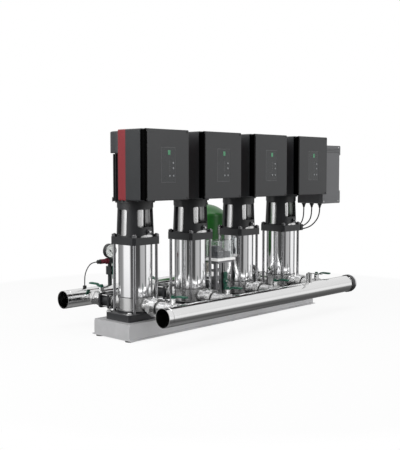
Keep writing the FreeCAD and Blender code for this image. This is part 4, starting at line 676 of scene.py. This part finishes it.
class PUMPSET_OT_cables(bpy.types.Operator):
    """Signal cable and the three power cables, each one smooth curve"""
    bl_idname = "pumpset.cables"
    bl_label = "Cables"

    def execute(self, context):
        self.cable("signal_cord", "signal_cable", SIGNAL_ROUTE, SIGNAL_DIAMETER, SIGNAL_LENGTH)
        for number, (route, length) in enumerate(zip(POWER_ROUTES, POWER_LENGTHS), start=1):
            self.cable(f"power_cord_{number}", f"power_cable_{number}", route, POWER_DIAMETER, length)
        return {"FINISHED"}

    def cable(self, name, node, route, diameter, length):
        curve = bpy.data.curves.new(name, "CURVE")
        curve.dimensions = "3D"
        curve.bevel_depth = diameter / 2
        curve.bevel_resolution = 4
        curve.resolution_u = 16
        curve.use_fill_caps = True
        spline = curve.splines.new("NURBS")
        spline.points.add(len(route) - 1)
        for point, place in zip(spline.points, route):
            point.co = (*at(*place), 1)
        spline.order_u = 3
        spline.use_endpoint_u = True
        cable = bpy.data.objects.new(name, curve)
        bpy.context.scene.collection.objects.link(cable)
        curve.materials.append(FINISHES["cable_rubber"])
        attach(cable, "frame")
        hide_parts(node)


class PUMPSET_OT_drives(bpy.types.Operator):
    """Displays, keys, outlines and legend dashes on the panels, screws on the lids and plugs on the motors"""
    bl_idname = "pumpset.drives"
    bl_label = "Drive details"

    def execute(self, context):
        x, face = PUMP_XS[0], LID_FACE
        outline = self.outline(x, face)
        keys = [bar((x + dx, face - 0.5, z), 3.9, 1.4, TO_FRONT, sides=20, bevel=0.5)
                for dx, z in ((30.6, 694), (30.6, 673), (11.4, 644), (31.7, 644))]
        dashes = [block((x + 7, face - 0.15, z), (x + 7 + width, face + 0.1, z + 1.6), bevel=0.1, segments=1)
                  for z, width in ((700, 7), (693, 9), (686, 6), (679, 8), (672, 7), (665, 9), (658, 5))]
        at_each_pump([outline] + dashes, "panel_outlines", "panel_print")
        at_each_pump(keys, "panel_keys", "key_grey")
        display = block((x + 2, face - 0.7, 725), (x + 15, face + 0.2, 743), bevel=0.4)
        at_each_pump([sink(display, TO_FRONT, 1.2, 0.4)], "panel_displays", "display_green")
        screws = [sink(bar((x + dx, face - 0.8, z), 4.2, 1.6, TO_FRONT), TO_FRONT, 1.6, 0.8)
                  for dx in (-108, 108) for z in (557, 815)]
        at_each_pump(screws, "lid_screws", "black_plastic")
        self.motor_plugs(x)
        return {"FINISHED"}

    def outline(self, x, face):
        """Thin line round the operating panel."""
        deselect()
        bpy.ops.mesh.primitive_plane_add(size=1.0, location=at(x + 5, face, 686.5),
                                         rotation=(math.pi / 2, 0, 0))
        frame_line = bpy.context.object
        frame_line.scale = (0.078, 0.135, 1)
        bpy.ops.object.transform_apply(location=False, rotation=True, scale=True)
        bpy.ops.object.mode_set(mode="EDIT")
        bpy.ops.mesh.select_all(action="SELECT")
        bpy.ops.mesh.inset(thickness=1.5 * MM, depth=0.0)
        bpy.ops.mesh.delete(type="FACE")
        bpy.ops.object.mode_set(mode="OBJECT")
        return add_modifier(frame_line, "SOLIDIFY", thickness=0.5 * MM, offset=0.0)

    def motor_plugs(self, x):
        """Drain plug low on each motor's barrel."""
        outward = Vector(MOTOR_PLUG_AIM)
        base = Vector((x, 0, MOTOR_PLUG_Z)) + outward * MOTOR_RADIUS
        body = bar(base, 7.5, 14, outward, bevel=1.2)
        collar = bar(base + outward * 6, 9.5, 3, outward, sides=6, bevel=0.5)
        at_each_pump([body, collar], "motor_plugs", "black_plastic")


class PUMPSET_OT_pipework(bpy.types.Operator):
    """Weld beads, valve bolts, clamp nuts, washers, vent tips and the plastic sleeves of the levers"""
    bl_idname = "pumpset.pipework"
    bl_label = "Pipework details"

    def execute(self, context):
        sizes = context.scene.pump_set_sizes
        x = PUMP_XS[0]
        beads = [self.bead(x, side, sizes.weld) for side in (-1, 1)]
        at_each_pump(beads, "weld_beads", "weld_steel", angle=60)
        bolts = []
        middle = sum(VALVE_BOLT_ENDS) / 2
        for dx, dz in ((-31, -23), (-31, 23), (31, -23), (31, 23)):
            bolts.append(bar((x + dx, middle, PORT_Z + dz), 3.4, 74, TO_BACK, sides=12))
            for end in VALVE_BOLT_ENDS:
                bolts.append(bar((x + dx, end, PORT_Z + dz), 6.2, 5, TO_BACK, sides=6, bevel=0.5))
        at_each_pump(bolts, "check_valve_bolts", "bolt_steel")
        nuts = [bar((x + dx, CLAMP_Y, PORT_Z + dz), 7.2, 6, UP, sides=6, bevel=0.6)
                for dx in (-45, 45) for dz in (12, -12)]
        at_each_pump(nuts, "clamp_nuts", "bolt_steel")
        seam = ring((x, 0, SEAM_Z), 71.0, 2.4, 2.4, UP, sides=96, bevel=0.8)
        at_each_pump([seam], "sleeve_seals", "black_plastic", angle=60)
        away_x, away_y, level = ANCHOR_PLACE
        washers = [ring((x + sx * away_x, sy * away_y, level), 11.5, 6.0, 1.8, UP, sides=28)
                   for sx in (-1, 1) for sy in (-1, 1)]
        at_each_pump(washers, "anchor_washers", "bolt_steel")
        tip = sink(bar((x, *VENT_PLACE), 4.6, 2.6, TO_FRONT, sides=16, bevel=0.5), TO_FRONT, 1.2, 0.8)
        at_each_pump([tip], "vent_tips", "bolt_steel")
        at_each_pump([self.rim(x)], "stool_faces", "bolt_steel")
        for number, pump_x in enumerate(PUMP_XS, start=1):
            for side, word in ((-1, "suction"), (1, "discharge")):
                self.sleeve(f"{word}_lever_sleeve_{number}", pump_x, side, f"{word}_handle_{number}",
                            sizes.sleeve)
        return {"FINISHED"}

    def rim(self, x):
        """Machined half-round face on the stool under the vent plug."""
        deselect()
        bpy.ops.mesh.primitive_grid_add(x_subdivisions=28, y_subdivisions=6, size=2.0)
        face = bpy.context.object
        for vertex in face.data.vertices:
            across = vertex.co.x * 33
            up = (vertex.co.y + 1) / 2 * 10 * math.sqrt(max(0.0, 1 - vertex.co.x ** 2))
            depth = math.sqrt((STOOL_RADIUS - STOOL_TAPER * up) ** 2 - across ** 2)
            vertex.co = at(x + across, -depth - 0.1, STOOL_FOOT + up)
        bpy.ops.object.mode_set(mode="EDIT")
        bpy.ops.mesh.select_all(action="SELECT")
        bpy.ops.mesh.remove_doubles(threshold=0.05 * MM)
        bpy.ops.mesh.select_all(action="SELECT")
        bpy.ops.mesh.normals_make_consistent(inside=False)
        bpy.ops.object.mode_set(mode="OBJECT")
        return add_modifier(face, "SOLIDIFY", thickness=1.0 * MM, offset=0.0)

    def bead(self, x, side, radius):
        """Ring that follows the line where a stub meets the manifold."""
        deselect()
        bpy.ops.mesh.primitive_torus_add(major_segments=96, minor_segments=8, major_radius=STUB_RADIUS * MM,
                                         minor_radius=radius, location=at(x, side * MANIFOLD_Y, PORT_Z),
                                         rotation=(math.pi / 2, 0, 0))
        weld = bpy.context.object
        bpy.ops.object.transform_apply(location=False, rotation=True, scale=True)
        for vertex in weld.data.vertices:
            angle = math.atan2(vertex.co.z, vertex.co.x)
            reach = math.sqrt(MANIFOLD_RADIUS ** 2 - (STUB_RADIUS * math.sin(angle)) ** 2) * MM
            swell = 1 + 0.18 * math.sin(42 * angle)
            vertex.co.y = vertex.co.y * swell - side * reach
        return weld

    def sleeve(self, name, x, side, body, wall):
        """Plastic sleeve with rounded edges over a lever's blade, with a low rib along its top."""
        wall = wall / MM
        low, high = sorted((side * (LEVER_Y + 32), side * (LEVER_Y + 75)))
        under, over = LEVER_LEVELS[0] - wall, LEVER_LEVELS[1] + wall
        piece = block((x - 7.5 - wall, low, under), (x + 7.5 + wall, high, over), bevel=2.4, segments=3)
        rib = block((x - 4, low + 8, over - 0.4), (x + 4, high - 8, over + 0.7), bevel=0.5)
        put_down(as_one([piece, rib]), name, FINISHES["lever_green"], body)


class PUMPSET_OT_gauge(bpy.types.Operator):
    """Dial print, bezel and glass of the pressure gauge"""
    bl_idname = "pumpset.gauge"
    bl_label = "Gauge details"

    def execute(self, context):
        x, back, z = GAUGE_X, GAUGE_BACK, GAUGE_Z
        face = bar((x, back - 11.1, z), 28.3, 0.8, TO_BACK, sides=64, bevel=0.2)
        put_down(face, "gauge_dial", FINISHES["dial_white"], "frame")
        marks = []
        for index in range(41):
            angle = math.radians(GAUGE_START - index * GAUGE_SWEEP / 40)
            outer, inner = 24.5, 21.0 if index % 10 == 0 else 22.8
            wide = 0.9 if index % 10 == 0 else 0.4
            middle = (outer + inner) / 2
            mark = block((x - wide / 2, back - 11.75, z - (outer - inner) / 2),
                         (x + wide / 2, back - 11.5, z + (outer - inner) / 2), bevel=0.05, segments=1)
            mark.rotation_euler = (0, math.pi / 2 - angle, 0)
            mark.location += Vector((math.cos(angle), 0, math.sin(angle))) * middle * MM
            marks.append(mark)
        for index, number in enumerate(("0", "4", "8", "12", "16")):
            angle = math.radians(GAUGE_START - index * GAUGE_SWEEP / 4)
            across, up = 16.5 * math.cos(angle), 16.5 * math.sin(angle)
            deselect()
            bpy.ops.object.text_add(location=at(x + across, back - 11.6, z + up),
                                    rotation=(math.pi / 2, 0, 0))
            text = bpy.context.object
            text.data.body = number
            text.data.size = 6.5 * MM
            text.data.align_x = "CENTER"
            text.data.align_y = "CENTER"
            text.data.extrude = 0.1 * MM
            bpy.ops.object.convert(target="MESH")
            marks.append(bpy.context.object)
        put_down(as_one(marks), "gauge_print", FINISHES["print_black"], "frame", angle=0)
        bezel = ring((x, back - 17.0, z), 32.0, 3.4, 3.0, TO_BACK, sides=72, bevel=0.9)
        put_down(bezel, "gauge_bezel", FINISHES["gauge_black"], "frame", angle=60)
        glass = bar((x, back - 16.6, z), 28.6, 1.4, TO_BACK, sides=64, bevel=0.3)
        put_down(glass, "gauge_glass", FINISHES["clear_hood"], "frame")
        return {"FINISHED"}


class PUMPSET_OT_switch(bpy.types.Operator):
    """Studs on the clear hood, terminals and a knob on the modules, grip and bolt of the cock handle"""
    bl_idname = "pumpset.switch"
    bl_label = "Switch box details"

    def execute(self, context):
        studs = []
        for x, y, top in ((-46, -16, 400), (-40, -58, 414)):
            studs.append(bar((x, y, (HOOD_TOP + top) / 2), 1.8, top - HOOD_TOP, UP, sides=12, bevel=0.3))
            studs.append(bar((x, y, top), 4.2, 7, UP, sides=6, bevel=0.8))
            studs.append(bar((x, y, HOOD_TOP + 3.2), 5.0, 3, UP, sides=6, bevel=0.5))
        put_down(as_one(studs), "hood_studs", FINISHES["bolt_steel"], "hood")
        places = [(x, y, z) for x in (-42, -34, -26, -18) for y, z in ((-18, 331), (-52, 309))]
        places += [(x, -50, 307) for x in (8, 17, 26)]
        terminals = [sink(bar(place, 2.8, 2.4, UP, sides=16, bevel=0.3), UP, 0.9, 0.6) for place in places]
        put_down(as_one(terminals), "module_terminals", FINISHES["bolt_steel"], "frame")
        knob = sink(bar((17, -28, 311), 9, 10, UP, bevel=1.2), UP, 4, 1.0)
        put_down(knob, "module_knob", FINISHES["cabinet_grey"], "frame")
        x, z = COCK_X, COCK_Z
        grip = as_one([block((x - 12, -51.4, z - 40), (x + 12, -45.7, z - 14), bevel=2.2, segments=3),
                       block((x - 12, -51.4, z + 14), (x + 12, -45.7, z + 40), bevel=2.2, segments=3),
                       bar((x, -48.6, z), 15.5, 5.8, TO_FRONT, sides=40, bevel=1.2)])
        put_down(grip, "cock_handle_grip", FINISHES["lever_green"], "switch_handle")
        bolt = sink(bar((x, -55, z), 4.8, 3.4, TO_FRONT, sides=6, bevel=0.5), TO_FRONT, 1.2, 0.6)
        put_down(bolt, "cock_handle_bolt", FINISHES["bolt_steel"], "switch_handle")
        return {"FINISHED"}


class PUMPSET_OT_tank(bpy.types.Operator):
    """Gas valve's cap and collar on the diaphragm tank"""
    bl_idname = "pumpset.tank"
    bl_label = "Tank details"

    def execute(self, context):
        cap = bar((*TANK_VALVE, 500), 11, 12, UP, sides=28, bevel=2.0)
        collar = bar((*TANK_VALVE, 495.5), 15, 4, UP, sides=28, bevel=1.0)
        put_down(as_one([cap, collar]), "tank_valve_cap", FINISHES["black_plastic"], "frame")
        return {"FINISHED"}


class PUMPSET_OT_cabinet(bpy.types.Operator):
    """Latches, grooves and screws of the control cabinet"""
    bl_idname = "pumpset.cabinet"
    bl_label = "Cabinet details"

    def execute(self, context):
        latches = [block((607, -167, low), (613, -164, low + 38), bevel=1.0) for low in (568, 688)]
        grooves = [block((622, -166, z), (736, -164.8, z + 1.6), bevel=0.3, segments=1)
                   for z in (752, 760, 768)]
        put_down(as_one(latches + grooves), "cabinet_latches", FINISHES["black_plastic"], "frame")
        screws = [sink(bar((x, CABINET_FACE, z), 3.6, 2.2, TO_FRONT, sides=20, bevel=0.4), TO_FRONT, 1.3, 0.7)
                  for x in (606, 730) for z in (512, 776)]
        put_down(as_one(screws), "cabinet_screws", FINISHES["bolt_steel"], "frame")
        return {"FINISHED"}


class PUMPSET_PT_pieces(bpy.types.Panel):
    """Sidebar with the set's colours and sizes and a button for each step that makes its pieces"""
    bl_label = "Pump set"
    bl_idname = "PUMPSET_PT_pieces"
    bl_space_type = "VIEW_3D"
    bl_region_type = "UI"
    bl_category = "Pump set"

    def draw(self, context):
        layout = self.layout
        for group in (context.scene.pump_set_colours, context.scene.pump_set_sizes):
            for key in group.__annotations__:
                layout.prop(group, key)
        for operator in OPERATORS:
            layout.operator(operator.bl_idname)


OPERATORS = (PUMPSET_OT_finishes, PUMPSET_OT_stage, PUMPSET_OT_cables, PUMPSET_OT_drives, PUMPSET_OT_pipework,
             PUMPSET_OT_gauge, PUMPSET_OT_switch, PUMPSET_OT_tank, PUMPSET_OT_cabinet)
CLASSES = (PumpSetColours, PumpSetSizes) + OPERATORS + (PUMPSET_PT_pieces,)


def register():
    for cls in CLASSES:
        bpy.utils.register_class(cls)
    bpy.types.Scene.pump_set_colours = PointerProperty(type=PumpSetColours)
    bpy.types.Scene.pump_set_sizes = PointerProperty(type=PumpSetSizes)


def unregister():
    del bpy.types.Scene.pump_set_colours
    del bpy.types.Scene.pump_set_sizes
    for cls in reversed(CLASSES):
        bpy.utils.unregister_class(cls)


def main():
    register()
    bpy.ops.pumpset.finishes()
    bpy.ops.pumpset.stage()
    bpy.ops.pumpset.cables()
    bpy.ops.pumpset.drives()
    bpy.ops.pumpset.pipework()
    bpy.ops.pumpset.gauge()
    bpy.ops.pumpset.switch()
    bpy.ops.pumpset.tank()
    bpy.ops.pumpset.cabinet()
    deselect()


if __name__ == "__main__":
    main()
